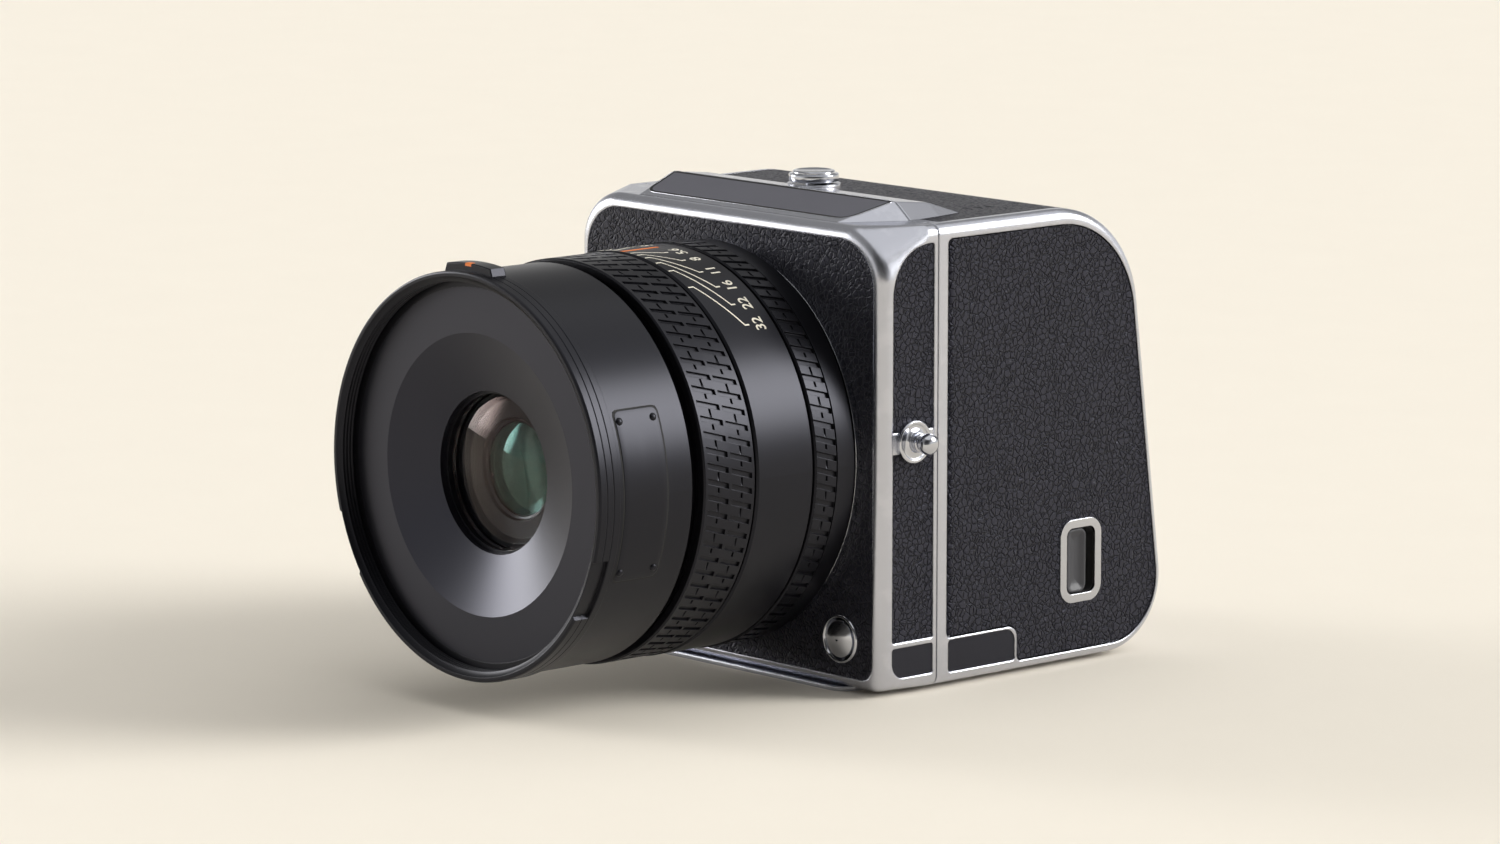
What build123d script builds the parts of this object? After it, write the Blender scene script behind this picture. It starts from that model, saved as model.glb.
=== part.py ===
from build123d import *
import os
from math import asin, atan2, cos, degrees, hypot, pi, radians, sin, tan

# Medium format digital camera in two body parts: a slim front part with the lens mount,
# and a deep digital back that hooks on behind it. A wide lens with a ribbed focus ring and
# a ribbed control ring is mounted. Sizes are in millimetres, +Z is up, the lens looks
# along -Y, and the origin is the mouth of the tripod socket under the front part.

# Clearances shared by the whole camera
seam_gap = 0.3          # between pieces that move apart or turn against each other
pin_fit = 0.05          # radial play of a pin in its bore
seat_fit = 0.05         # radial play of a piece that drops into its seat
overrun = 2.0           # how far a cutting shape runs past the face that it cuts

# Whole body
half_width = 42.65
base_thickness = 0.9
body_top = 88.2
front_depth = 14.2
lens_drop = 0.1         # lens axis under the middle of the body
skin = 0.8              # thickness of the leather panels
socket_setback = 7.6    # tripod socket behind the front leather

# Front part
front_corner = 12.0
front_low_corner = 4.2
corner_run = 12.0
front_edge_round = 2.5
leather_side_border = 2.55
leather_low_border = 2.2
leather_top_border = 2.4
leather_top_corner = 9.0
leather_low_corner = 3.0
throat_radius = 31.5

# Side panels of the front part
side_panel_start = 2.7
side_panel_end = 13.4
side_panel_top_border = 3.2
side_panel_arch = 9.5
side_panel_corner = 0.6
badge_low_border = 2.7
badge_height = 5.8
badge_rib = 1.0
badge_thickness = 0.6
badge_corner = 3.0

# Raised top with its sloping bare plate
hump_start = 2.6
hump_start_rise = 0.09
hump_seam_rise = 3.3
hump_start_side = 14.95  # from the side of the body
hump_seam_side = 11.8
hump_flare_share = 1.26
hump_sink = 1.0
top_plate_start = 4.7
top_plate_end = 13.7
top_plate_border = 0.6
top_plate_thickness = 0.5
top_plate_corner = 3.0

# Base plate and tripod socket
base_plate_side = 9.95   # narrower than the body on each side
base_plate_corner = 4.0
socket_bore = 3.175
socket_depth = 5.5
socket_wall = 2.2
socket_floor = 1.2
foot_plate_side = 12.65
foot_plate_length = 44.0
foot_plate_corner = 3.0

# Lens release button, and the shutter button inside its control wheel
release_side = 11.05     # from the side of the body
release_lift = 9.3       # from its underside
release_bezel_radius = 4.65
release_bezel_wall = 0.85
release_bezel_rise = 0.5
release_cap_rise = 1.1
release_dome_rise = 0.7
release_travel = 2.0
release_length = 5.5
wheel_side = 10.25
wheel_lift = 9.9
wheel_radius = 6.7
wheel_rise = 2.3
wheel_sink = 2.6
wheel_wall = 1.9
wheel_flutes = 36
wheel_flute_radius = 0.28
shutter_radius = 3.2
shutter_cap_rise = 1.9
shutter_dome_rise = 0.5
shutter_travel = 1.2
shutter_length = 6.0

# Strap lugs
lug_depth = 8.1
lug_height = 48.1
lug_boss_radius = 4.1
lug_boss_rise = 0.6
lug_boss_sink = 1.0
lug_stem_radius = 1.35
lug_knob_radius = 1.9
lug_knob_length = 3.5
lug_reach = 5.5
lug_knob_round = 0.6
lug_spigot_radius = 2.5
lug_spigot_length = 5.0

# Lens mount on the body
mount_outer = 37.3
mount_rise = 1.6
mount_sink = 1.8
mount_inner = 32.6
mount_tab_inner = 30.7
mount_tab_thickness = 1.4
mount_tabs = 3
mount_tab_angle = 55.0
mount_screws = 6
mount_screw_circle = 35.0
mount_screw_radius = 1.1
mount_screw_length = 4.0
mount_screw_slot = 0.35
contact_block_depth = 5.6
contact_block_length = 24.0
contact_block_height = 4.0
contact_pins = 8
contact_pin_radius = 0.6
contact_pin_rise = 0.7

# Digital back
back_length = 62.8      # seam to the foot of the sloping rear face
rear_lean = 11.5        # how much further back the foot is than the top
rear_top_round = 22.0
rear_low_round = 14.0
back_edge_round = 2.0    # the front part's upper corners end in the same round
back_panel_start = 2.6  # from the seam to the side panel
back_panel_top_border = 3.1
back_panel_low_border = 2.15
back_panel_rear_border = 2.0
back_panel_corner = 0.8
back_badge_setback = 0.2
back_badge_length = 17.8
back_badge_height = 6.2
back_badge_rib = 0.7
back_badge_corner = 2.5
panel_drop = 0.2        # leather below the side face
door_carrier = 2.0
top_leather_border = 3.05
top_leather_start = 2.6
top_leather_wrap_share = 0.9     # of the rear curve
top_slot_x = 30.0
top_slot_first = 34.3
top_slot_pitch = 2.65
top_slot_length = 2.7
top_slot_width = 0.6
top_slot_depth = 1.6
top_slots = 3

# Rear half of the raised top and the sliding release
strip_length = 8.4
strip_rise = 3.2
strip_end_rise = 2.3
strip_run = 6.2
strip_tip_side = 10.05
slider_setback = 22.4
slider_collar_radius = 5.1
slider_cap_radius = 4.4
slider_cap_height = 2.0
slider_cap_bevel = 0.45
slider_cap_top = 93.9
slider_neck_radius = 1.6
slider_neck_length = 2.6
slider_travel = 2.5

# Battery door with its finger latch
pill_depth = 52.7
pill_height = 20.1
pill_width = 10.95
pill_length = 16.1
pill_corner = 3.2
pill_wall = 1.63
pill_cup = 2.6
pill_floor = 0.6
latch_travel = 2.0
latch_thickness = 1.0
latch_ridge = 0.5
latch_ridge_width = 0.9
latch_ridges = 3

# Hinge pins of the doors
hinge_pin_radius = 0.6
hinge_pin_sink = 1.5

# Battery, cards and ports
battery_start = 38.0
battery_thickness = 20.0
battery_low = 26.0
battery_height = 40.0
battery_stop = 3.9      # wall between the battery and the sockets
battery_round = 3.0
card_setback = 30.0
card_pitch = 3.6
card_thickness = 2.1
card_width = 24.0
card_length = 32.0
card_low = 30.0
card_count = 2
bay_setback = 1.2
port_door_start = 44.0
port_door_end = 64.0
port_door_low = 20.0
port_door_high = 62.0
port_block_thickness = 5.0
port_block_setback = 0.6
port_pitch = 9.2
port_jack_radius = 3.0
port_jack_bore = 1.75
port_jacks = 3
port_usb_height = 9.6
port_usb_width = 3.8
port_usb_wall = 0.4
port_block_margin = 2.0
port_socket_depth = 4.2

# Rear panel, tilting screen and buttons
rear_plate_side = 3.15
rear_plate_margin = 0.2    # from the ends of the flat
rear_plate_corner = 2.0
screen_side = 6.15
button_band = 5.4        # height left under the screen for the buttons
screen_top_margin = 1.0
screen_thickness = 4.0
screen_drop = 0.1
screen_corner = 2.0
screen_glass_border = 1.6
screen_glass_thickness = 0.8
screen_pin_radius = 0.8
button_inset = 5.0       # first button from the side of the screen
button_width = 9.0
button_height = 3.0
button_corner = 1.3
button_rise = 0.4
button_depth = 1.8
button_travel = 0.6
button_margin = 0.9
buttons = 5

# Sensor, boards and their front plate
chamber_side = 8.65
chamber_low = 8.0
chamber_high = 81.0
chamber_depth = 14.0
chamber_corner = 2.0
plate_margin = 3.0
plate_thickness = 1.6
window_half = 24.0
window_height = 36.0
sensor_width = 44.0
sensor_height = 33.0
sensor_thickness = 1.2
sensor_package_margin = 5.0
sensor_package_thickness = 2.4
filter_glass_thickness = 1.0
filter_margin = 2.0
board_thickness = 1.6
board_margin = 1.0
post_radius = 2.2
post_inset = 4.5
chip_size = 14.0
chip_thickness = 1.4
chip_pitch = 20.0
board_gap = 2.2
board_chips = 3

# Lens stations, as distances in front of the front leather, and radii
flange_reach = 1.9
flange_thickness = 1.5
flange_inset = 1.0      # flange inside the mount ring's radius
collar_radius = 30.3
collar_bore = 24.0
collar_length = 4.5
lug_radius = 32.2
lug_thickness = 1.4
lens_lug_angle = 50.0
tail_reach = 2.0
tail_full_reach = 2.9
tail_rise = 0.7         # over the front barrel's radius
tail_bevel = 1.2
control_start = 7.4
control_end = 12.9
control_rise = 1.0
scale_start = 13.1
scale_end = 27.2
scale_rise = 0.7
scale_bevel = 0.4
focus_start = 27.5
focus_end = 40.1
focus_rise = 0.5
focus_travel = 2.3
sleeve_wall = 0.7
sleeve_margin = 0.5
barrel_start = 42.7
barrel_end = 61.8
barrel_rise = 0.2       # front barrel over the mount ring's radius
rim_end = 65.35
rim_rise = 0.5
rim_wall = 2.0
thread_end = 64.8
rim_mouth_bevel = 0.9
rim_round = 0.4
tab_start = 60.4
tab_end = 63.9
tab_rise = 2.0
tab_angle = 20.0
hood_slot_start = 62.1
hood_slot_depth = 0.7
hood_slot_angle = 18.7
hood_slot_middle = -26.4
core_inset = 2.7
core_wall = 2.6
core_end = 60.5
ring_bevel = 0.35

# Ribs of the rings, cut as slanted grooves
ribs = 82
rib_slant = 15.5        # degrees from the lens axis
groove_width = 1.0
groove_depth = 0.5
groove_length = 5.0
groove_row_gap = 0.7

# Front of the lens
name_ring_width = 9.7
cone_inner = 15.2
cone_end = 58.2
cell_bore = 14.6
front_cell_start = 34.0
shutter_start = 27.0
shutter_bore = 13.0
blade_count = 8
blade_aperture = 9.0
blade_thickness = 0.3
blade_slot = 1.0
blade_gap_angle = 0.8
blade_outer = 20.0
rear_cell_bore = 13.0
rear_cell_tail = 2.2
front_glass_rim = 55.8
front_glass_edge = 2.0
front_glass_bulge = 2.4
front_glass_hollow = 2.2
middle_glass_rim = 46.0
middle_glass_edge = 3.0
middle_glass_bulge = 2.4
rear_glass_rim = 12.0
rear_glass_edge = 4.0
rear_glass_bulge = 2.0
name_plate_start = 48.7
name_plate_end = 59.0
name_plate_angle = 49.2
name_plate_thickness = 0.35
name_plate_sink = 0.2
name_plate_corner = 1.2
rivet_radius = 0.75
rivet_rise = 0.35
rivet_margin = 1.2
rivet_length = 1.2

lens_height = (base_thickness + body_top) / 2 - lens_drop
base_plate_half = half_width - base_plate_side
foot_plate_half = half_width - foot_plate_side
release_x = half_width - release_side
release_z = base_thickness + release_lift
wheel_x = wheel_side - half_width
wheel_z = base_thickness + wheel_lift
top_leather_half = half_width - top_leather_border
hump_start_half = half_width - hump_start_side
hump_seam_half = half_width - hump_seam_side
strip_tip_half = half_width - strip_tip_side
rear_plate_half = half_width - rear_plate_side
screen_half = half_width - screen_side
button_pitch = (2 * (screen_half - button_inset) - button_width) / (buttons - 1)
chamber_half = half_width - chamber_side

barrel_radius = mount_outer + barrel_rise
control_radius = barrel_radius + control_rise
scale_radius = barrel_radius + scale_rise
focus_radius = barrel_radius + focus_rise
tail_radius = barrel_radius + tail_rise
tail_small_radius = tail_radius - tail_bevel
flange_radius = mount_outer - flange_inset
core_radius = barrel_radius - core_inset
core_bore = core_radius - core_wall
rim_radius = barrel_radius + rim_rise
tab_radius = barrel_radius + tab_rise
thread_radius = rim_radius - rim_wall
rim_mouth = thread_radius + rim_mouth_bevel
name_ring_inner = thread_radius - name_ring_width

front_y = -socket_setback
seam_y = front_y + front_depth
back_y = seam_y + seam_gap
back_depth = front_depth + seam_gap


def behind(depth):
    """Y of a place that lies this far behind the front leather."""
    return front_y + depth


def ahead(reach):
    """Y of a place that lies this far in front of the front leather."""
    return front_y - reach


def rod(radius, y_front, y_rear, x=0, z=lens_height):
    """Round bar along Y."""
    bar = Rot(X=90) * Cylinder(radius, y_rear - y_front)
    return Pos(x, (y_front + y_rear) / 2, z) * bar


def turned(points, x=0, z=lens_height):
    """Solid turned about an axis along Y, from (radius, y) corners."""
    profile = make_face(Polyline(*points, close=True))
    return Pos(x, 0, z) * revolve(profile, Axis.Y)


def block(x_low, x_high, y_low, y_high, z_low, z_high):
    """Straight block between two corners."""
    middle = Pos((x_low + x_high) / 2, (y_low + y_high) / 2, (z_low + z_high) / 2)
    return middle * Box(x_high - x_low, y_high - y_low, z_high - z_low)


def upright_face(half, low, high, top_radius, low_radius):
    """Rounded rectangle seen from the front, with its own radius above and below."""
    face = Pos(0, (low + high) / 2) * Rectangle(2 * half, high - low)
    face = fillet(face.vertices().group_by(Axis.Y)[-1], top_radius)
    face = fillet(face.vertices().group_by(Axis.Y)[0], low_radius)
    return Plane.XZ * face


def upright_panel(face, y_front, y_rear):
    """Panel between two depths, from a face seen from the front."""
    return extrude(Pos(0, y_rear, 0) * face, amount=y_rear - y_front)


def side_face(corners, radii):
    """Face seen from the side, from (y, z) corners with a radius for each."""
    return Plane.YZ * make_face(FilletPolyline(*corners, radius=radii, close=True))


def side_panel(face, x_low, x_high):
    """Panel between two distances from the middle plane, from a face seen from the side."""
    return extrude(Pos(x_low, 0, 0) * face, amount=x_high - x_low)


def sector(inner, outer, angle, y_front, y_rear, middle):
    """Piece of a flat ring about the lens axis. Its middle is this many degrees up from +X."""
    corners = [(inner, y_front), (outer, y_front), (outer, y_rear), (inner, y_rear)]
    profile = make_face(Polyline(*corners, close=True))
    piece = revolve(profile, Axis.Y, revolution_arc=angle)
    return Pos(0, 0, lens_height) * Rot(Y=-(middle + angle / 2)) * piece


def mirrored(shape):
    """The same shape on the other side of the camera."""
    return mirror(shape, Plane.YZ)


def front_section(top_radius, low_radius, depth):
    """Outline of the front part at this depth."""
    face = upright_face(half_width, base_thickness, body_top, top_radius, low_radius)
    return Pos(0, behind(depth), 0) * face


def front_form():
    """Outer form of the front part: its round upper corners sharpen towards the seam."""
    nose = loft([front_section(front_corner, front_low_corner, 0),
                 front_section(back_edge_round, back_edge_round, corner_run)], ruled=True)
    tail = extrude(front_section(back_edge_round, back_edge_round, front_depth), amount=front_depth - corner_run)
    form = nose + tail
    return fillet(form.edges().group_by(Axis.Y)[0], front_edge_round)


def hump_section(depth, rise, half):
    """Trapezoid across the raised top at this depth, sunk into the body below it."""
    top_z = body_top + rise
    low_z = body_top - hump_sink
    half_low = half + hump_flare_share * (rise + hump_sink)
    corners = [(-half_low, low_z), (half_low, low_z), (half, top_z), (-half, top_z)]
    face = Plane.XZ * make_face(Polyline(*corners, close=True))
    return Pos(0, behind(depth), 0) * face


def front_hump():
    """Front half of the raised top, which slopes up to the seam."""
    return loft([hump_section(hump_start, hump_start_rise, hump_start_half),
                 hump_section(front_depth, hump_seam_rise, hump_seam_half)], ruled=True)


hump_run = front_depth - hump_start
hump_slope = (hump_seam_rise - hump_start_rise) / hump_run


def top_plate():
    """Bare plate let into the slope of the raised top."""
    start = top_plate_start - hump_start
    end = top_plate_end - hump_start
    widen = (hump_seam_half - hump_start_half) / hump_run
    half_start = hump_start_half + widen * start - top_plate_border
    half_end = hump_start_half + widen * end - top_plate_border
    stretch = hypot(1, hump_slope)
    corners = [(-half_start, start * stretch), (half_start, start * stretch),
               (half_end, end * stretch), (-half_end, end * stretch)]
    slope = Plane(origin=(0, behind(hump_start), body_top + hump_start_rise),
                  x_dir=(1, 0, 0), z_dir=(0, -hump_slope, 1))
    face = make_face(Polyline(*corners, close=True))
    face = fillet(face.vertices().group_by(Axis.Y)[0], top_plate_corner)
    return extrude(slope * face, amount=-top_plate_thickness)


def front_leather():
    """Leather over the whole front, cut away round the mount, the button and the wheel."""
    face = upright_face(half_width - leather_side_border, base_thickness + leather_low_border,
                        body_top - leather_top_border, leather_top_corner, leather_low_corner)
    leather = upright_panel(face, front_y, behind(skin))
    leather -= rod(mount_outer, front_y - overrun, behind(skin) + overrun)
    leather -= rod(release_bezel_radius, front_y - overrun, behind(skin) + overrun, release_x, release_z)
    leather -= rod(wheel_radius + seam_gap, front_y - overrun, behind(skin) + overrun, wheel_x, wheel_z)
    return leather


side_skin_x = half_width - panel_drop - skin


def side_leather_face(low_z):
    """Outline of the leather on the side of the front part, with its arch at the top."""
    y_start = behind(side_panel_start)
    y_end = behind(side_panel_end)
    high_z = body_top - side_panel_top_border
    return side_face([(y_start, low_z), (y_end, low_z), (y_end, high_z), (y_start, high_z)],
                     [side_panel_corner, side_panel_corner, side_panel_corner, side_panel_arch])


def side_recess(face):
    """Opening over a side panel, which lies a little below the side face."""
    return side_panel(face, half_width - panel_drop, half_width + overrun)


def front_side_leather(low_z):
    """Leather on the side of the front part, in two pieces above and below the strap lug."""
    y_start = behind(side_panel_start)
    y_end = behind(side_panel_end)
    leather = side_panel(side_leather_face(low_z), side_skin_x, half_width - panel_drop)
    neck = block(side_skin_x - overrun, half_width + overrun, y_start - overrun, y_end + overrun,
                 lug_height - lug_boss_radius / 2, lug_height + lug_boss_radius / 2)
    lug = Pos(half_width, behind(lug_depth), lug_height) * Rot(Y=90) * Cylinder(lug_boss_radius, half_width)
    return leather - neck - lug


badge_low_z = base_thickness + badge_low_border
badge_top_z = badge_low_z + badge_height
leather_over_badge_z = badge_top_z + badge_rib


def front_badge_face():
    """Outline of the bare black plate under the side leather of the front part."""
    y_start = behind(side_panel_start)
    y_end = behind(side_panel_end)
    corners = [(y_start, badge_low_z), (y_end, badge_low_z), (y_end, badge_top_z), (y_start, badge_top_z)]
    return side_face(corners, [badge_corner, side_panel_corner, side_panel_corner, side_panel_corner])


def front_badge():
    """Bare black plate under the side leather of the front part."""
    return side_panel(front_badge_face(), half_width - panel_drop - badge_thickness, half_width - panel_drop)


def strap_lug():
    """Screwed-in strap lug: a flat boss, a thin stem and a rounded knob."""
    face_x = half_width
    knob_x = face_x + lug_reach - lug_knob_length
    inner_x = face_x - lug_boss_sink
    corners = [(0, inner_x - lug_spigot_length), (lug_spigot_radius, inner_x - lug_spigot_length),
               (lug_spigot_radius, inner_x), (lug_boss_radius, inner_x),
               (lug_boss_radius, face_x + lug_boss_rise), (lug_stem_radius, face_x + lug_boss_rise),
               (lug_stem_radius, knob_x), (lug_knob_radius, knob_x),
               (lug_knob_radius, face_x + lug_reach), (0, face_x + lug_reach)]
    profile = make_face(Polyline(*corners, close=True))
    lug = revolve(profile, Axis.Y)
    lug = fillet(lug.edges().group_by(Axis.Y)[-1], lug_knob_round)
    return Pos(0, behind(lug_depth), lug_height) * Rot(Z=-90) * lug


def base_plate():
    """Bright plate under the front part."""
    plate = Pos(0, behind(front_depth / 2), base_thickness / 2) * Box(2 * base_plate_half, front_depth, base_thickness)
    plate = fillet(plate.edges().filter_by(Axis.Z).group_by(Axis.Y)[0], base_plate_corner)
    return plate - Cylinder(socket_bore + socket_wall, 2 * overrun)


def tripod_socket():
    """Threaded insert that takes a tripod screw. The thread itself is left out."""
    height = socket_depth + socket_floor
    insert = Pos(0, 0, height / 2) * Cylinder(socket_bore + socket_wall, height)
    return insert - Pos(0, 0, socket_depth / 2) * Cylinder(socket_bore, socket_depth)


def release_bezel():
    """Bright ring round the lens release button."""
    rear = behind(release_length + release_travel)
    bezel = rod(release_bezel_radius, ahead(release_bezel_rise), rear, release_x, release_z)
    return bezel - rod(release_bezel_radius - release_bezel_wall, ahead(release_bezel_rise), rear, release_x, release_z)


def crown(radius, edge_y, bulge):
    """Circular arc from an edge at this radius to the axis, along Y. A negative bulge is a hollow."""
    ball = (radius ** 2 + bulge ** 2) / (2 * bulge)
    centre_y = edge_y - bulge + ball
    angle = asin(radius / abs(ball)) / 2
    middle = (abs(ball) * sin(angle), centre_y - ball * cos(angle))
    return ThreePointArc((radius, edge_y), middle, (0, edge_y - bulge))


def domed_cap(radius, rise, dome, length, x, z):
    """Push button with a domed head, along Y."""
    edge_y = ahead(rise - dome)
    rear_y = edge_y + length
    outline = Line((0, ahead(rise)), (0, rear_y)) + Line((0, rear_y), (radius, rear_y))
    outline += Line((radius, rear_y), (radius, edge_y)) + crown(radius, edge_y, dome)
    return Pos(x, 0, z) * revolve(make_face(outline), Axis.Y)


def lens_release_button():
    """Polished button that unlocks the lens."""
    radius = release_bezel_radius - release_bezel_wall - seam_gap
    return domed_cap(radius, release_cap_rise, release_dome_rise, release_length, release_x, release_z)


def control_wheel():
    """Fluted wheel round the shutter button."""
    front = ahead(wheel_rise)
    rear = behind(wheel_sink)
    wheel = rod(wheel_radius, front, rear, wheel_x, wheel_z)
    wheel -= rod(wheel_radius - wheel_wall, front, rear, wheel_x, wheel_z)
    step = 360 / wheel_flutes
    for index in range(wheel_flutes):
        angle = radians(index * step)
        x = wheel_x + wheel_radius * cos(angle)
        z = wheel_z + wheel_radius * sin(angle)
        wheel -= rod(wheel_flute_radius, front, front_y, x, z)
    return wheel


shutter_guide_radius = wheel_radius - wheel_wall - seam_gap


def shutter_button():
    """Shutter button, guided by the raised ring inside the control wheel."""
    return domed_cap(shutter_radius, shutter_cap_rise, shutter_dome_rise, shutter_length, wheel_x, wheel_z)


def mount_ring():
    """Bright ring of the lens mount, with claws that hold the lugs of the lens."""
    front = ahead(mount_rise)
    rear = behind(mount_sink)
    ring = turned([(mount_inner, front), (mount_outer, front), (mount_outer, rear), (mount_inner, rear)])
    for index in range(mount_tabs):
        middle = 90 + index * 360 / mount_tabs
        ring += sector(mount_tab_inner, mount_inner + mount_sink, mount_tab_angle, front,
                       front + mount_tab_thickness, middle)
    return ring


def mount_screw_group():
    """Slotted screws that hold the mount ring."""
    front = ahead(mount_rise)
    screws = Part()
    for index in range(mount_screws):
        angle = radians((index + 1 / 2) * 360 / mount_screws)
        x = mount_screw_circle * cos(angle)
        z = lens_height + mount_screw_circle * sin(angle)
        screw = rod(mount_screw_radius, front, front + mount_screw_length, x, z)
        slot = block(x - mount_screw_radius, x + mount_screw_radius, front - mount_screw_slot, front + mount_screw_slot,
                     z - mount_screw_slot / 2, z + mount_screw_slot / 2)
        screws += screw - slot
    return screws


def body_contacts():
    """Curved block low in the throat, with a row of round contact pins."""
    front = behind(contact_block_depth)
    inner = throat_radius - contact_block_height
    angle = degrees(contact_block_length / throat_radius)
    contacts = sector(inner, throat_radius, angle, front, front + contact_block_height, -90)
    row = (inner + throat_radius) / 2
    for index in range(contact_pins):
        turn = radians(-90 + angle * ((index + 1 / 2) / contact_pins - 1 / 2))
        x = row * cos(turn)
        z = lens_height + row * sin(turn)
        contacts += rod(contact_pin_radius, front - contact_pin_rise, front + contact_pin_rise, x, z)
    return contacts


def front_housing(inlays):
    """Bright frame of the front part, with the seats of everything that is let into it."""
    housing = front_form() + front_hump()
    housing -= rod(throat_radius, front_y - overrun, seam_y + overrun)
    housing -= rod(mount_outer, front_y - overrun, behind(mount_sink))
    housing -= rod(release_bezel_radius, front_y - overrun, behind(release_length + release_travel),
                   release_x, release_z)
    pocket_rear = behind(wheel_sink + seam_gap)
    housing -= rod(wheel_radius + seam_gap, front_y - overrun, pocket_rear, wheel_x, wheel_z)
    housing += rod(shutter_guide_radius, ahead(wheel_rise), pocket_rear, wheel_x, wheel_z)
    bore_rear = ahead(shutter_cap_rise - shutter_dome_rise) + shutter_length + shutter_travel + seam_gap
    housing -= rod(shutter_radius + seam_gap, ahead(wheel_rise) - overrun, bore_rear, wheel_x, wheel_z)
    socket_top = socket_depth + socket_floor
    housing -= Pos(0, 0, socket_top / 2) * Cylinder(socket_bore + socket_wall, socket_top)
    for inlay in inlays:
        housing -= inlay
    return housing


rear_height = body_top - base_thickness
rear_slant = hypot(rear_height, rear_lean)
lean_angle = atan2(rear_lean, rear_height)
flat_start = rear_top_round * tan((pi / 2 - lean_angle) / 2)
flat_end = rear_slant - rear_low_round * tan((pi / 2 + lean_angle) / 2)
flat_share = (flat_start + flat_end) / 2 / rear_slant
rear_top_y = back_y + back_length - rear_lean
rear_plane = Plane(origin=(0, rear_top_y + rear_lean * flat_share, body_top - rear_height * flat_share),
                   x_dir=(-1, 0, 0), z_dir=(0, rear_height, rear_lean))


def rear_face_y(z):
    """Y of the sloping rear face at this height."""
    return rear_top_y + rear_lean * (body_top - z) / rear_height


def back_form():
    """Outer form of the digital back: a sloping rear face with a large curve above it."""
    corners = [(back_y, base_thickness), (back_y + back_length, base_thickness),
               (rear_top_y, body_top), (back_y, body_top)]
    face = side_face(corners, [0, rear_low_round, rear_top_round, 0])
    form = side_panel(face, -half_width, half_width)
    sides = form.faces().sort_by(Axis.X)
    rims = [edge for side in (sides[0], sides[-1]) for edge in side.edges()
            if edge.center().Y > back_y + back_edge_round]
    return fillet(rims, back_edge_round)


def back_hump():
    """Rear half of the raised top: a strip, its steeper rear slope and the round seat of the slider."""
    strip_end = back_depth + strip_length
    middle = hump_section(strip_end, strip_end_rise, hump_seam_half)
    hump = loft([hump_section(back_depth, strip_rise, hump_seam_half), middle], ruled=True)
    hump += loft([middle, hump_section(strip_end + strip_run, hump_start_rise, strip_tip_half)], ruled=True)
    seat_height = strip_rise + hump_sink
    seat_z = body_top - hump_sink + seat_height / 2
    return hump + Pos(0, behind(slider_setback), seat_z) * Cylinder(slider_collar_radius, seat_height)


def top_slot_cuts():
    """Three short slots beside each other in the top leather."""
    cuts = Part()
    for index in range(top_slots):
        y = behind(top_slot_first + index * top_slot_pitch)
        cuts += Pos(top_slot_x, y, body_top) * Box(top_slot_length, top_slot_width, 2 * top_slot_depth)
    return cuts


def top_leather():
    """Leather over the top, which follows the rear curve down."""
    start_y = back_y + top_leather_start
    curve_y = rear_top_y - flat_start
    curve_z = body_top - rear_top_round
    wrap = (pi / 2 - lean_angle) * top_leather_wrap_share

    def on_curve(radius, angle):
        return (curve_y + radius * sin(angle), curve_z + radius * cos(angle))

    inner = rear_top_round - skin
    outline = Line((start_y, body_top), (curve_y, body_top))
    outline += ThreePointArc((curve_y, body_top), on_curve(rear_top_round, wrap / 2), on_curve(rear_top_round, wrap))
    outline += Line(on_curve(rear_top_round, wrap), on_curve(inner, wrap))
    outline += ThreePointArc(on_curve(inner, wrap), on_curve(inner, wrap / 2), (curve_y, body_top - skin))
    outline += Line((curve_y, body_top - skin), (start_y, body_top - skin))
    outline += Line((start_y, body_top - skin), (start_y, body_top))
    leather = side_panel(Plane.YZ * make_face(outline), -top_leather_half, top_leather_half)
    return leather - back_hump() - top_slot_cuts()


panel_start_y = back_y + back_panel_start
panel_low_z = base_thickness + back_panel_low_border
panel_high_z = body_top - back_panel_top_border
badge_end_y = panel_start_y + back_badge_setback + back_badge_length
leather_step_y = badge_end_y + back_badge_rib
leather_step_z = panel_low_z + back_badge_height + back_badge_rib
rear_low_panel_round = rear_low_round - back_panel_rear_border
rear_top_panel_round = rear_top_round - back_panel_rear_border
panel_rear_low = (rear_face_y(panel_low_z) - back_panel_rear_border, panel_low_z)
panel_rear_top = (rear_face_y(panel_high_z) - back_panel_rear_border, panel_high_z)


def battery_door_face():
    """Outline of the battery door, stepped over the bare plate."""
    corners = [(panel_start_y, leather_step_z), (leather_step_y, leather_step_z), (leather_step_y, panel_low_z),
               panel_rear_low, panel_rear_top, (panel_start_y, panel_high_z)]
    radii = [back_panel_corner, back_badge_corner, back_panel_corner,
             rear_low_panel_round, rear_top_panel_round, back_panel_corner]
    return side_face(corners, radii)


def back_badge_face():
    """Outline of the bare black plate low on the side of the back."""
    start_y = panel_start_y + back_badge_setback
    high_z = panel_low_z + back_badge_height
    corners = [(start_y, panel_low_z), (badge_end_y, panel_low_z), (badge_end_y, high_z), (start_y, high_z)]
    return side_face(corners, [back_panel_corner, back_panel_corner, back_badge_corner, back_panel_corner])


def back_badge():
    """Bare black plate low on the side of the back."""
    return side_panel(back_badge_face(), half_width - panel_drop - badge_thickness, half_width - panel_drop)


door_thickness = skin + door_carrier
door_knuckle = door_thickness / 2
door_face_x = half_width - panel_drop
door_axis_x = door_face_x - door_knuckle
door_back_x = door_face_x - door_thickness
pocket_floor_x = door_back_x - seam_gap


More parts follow.
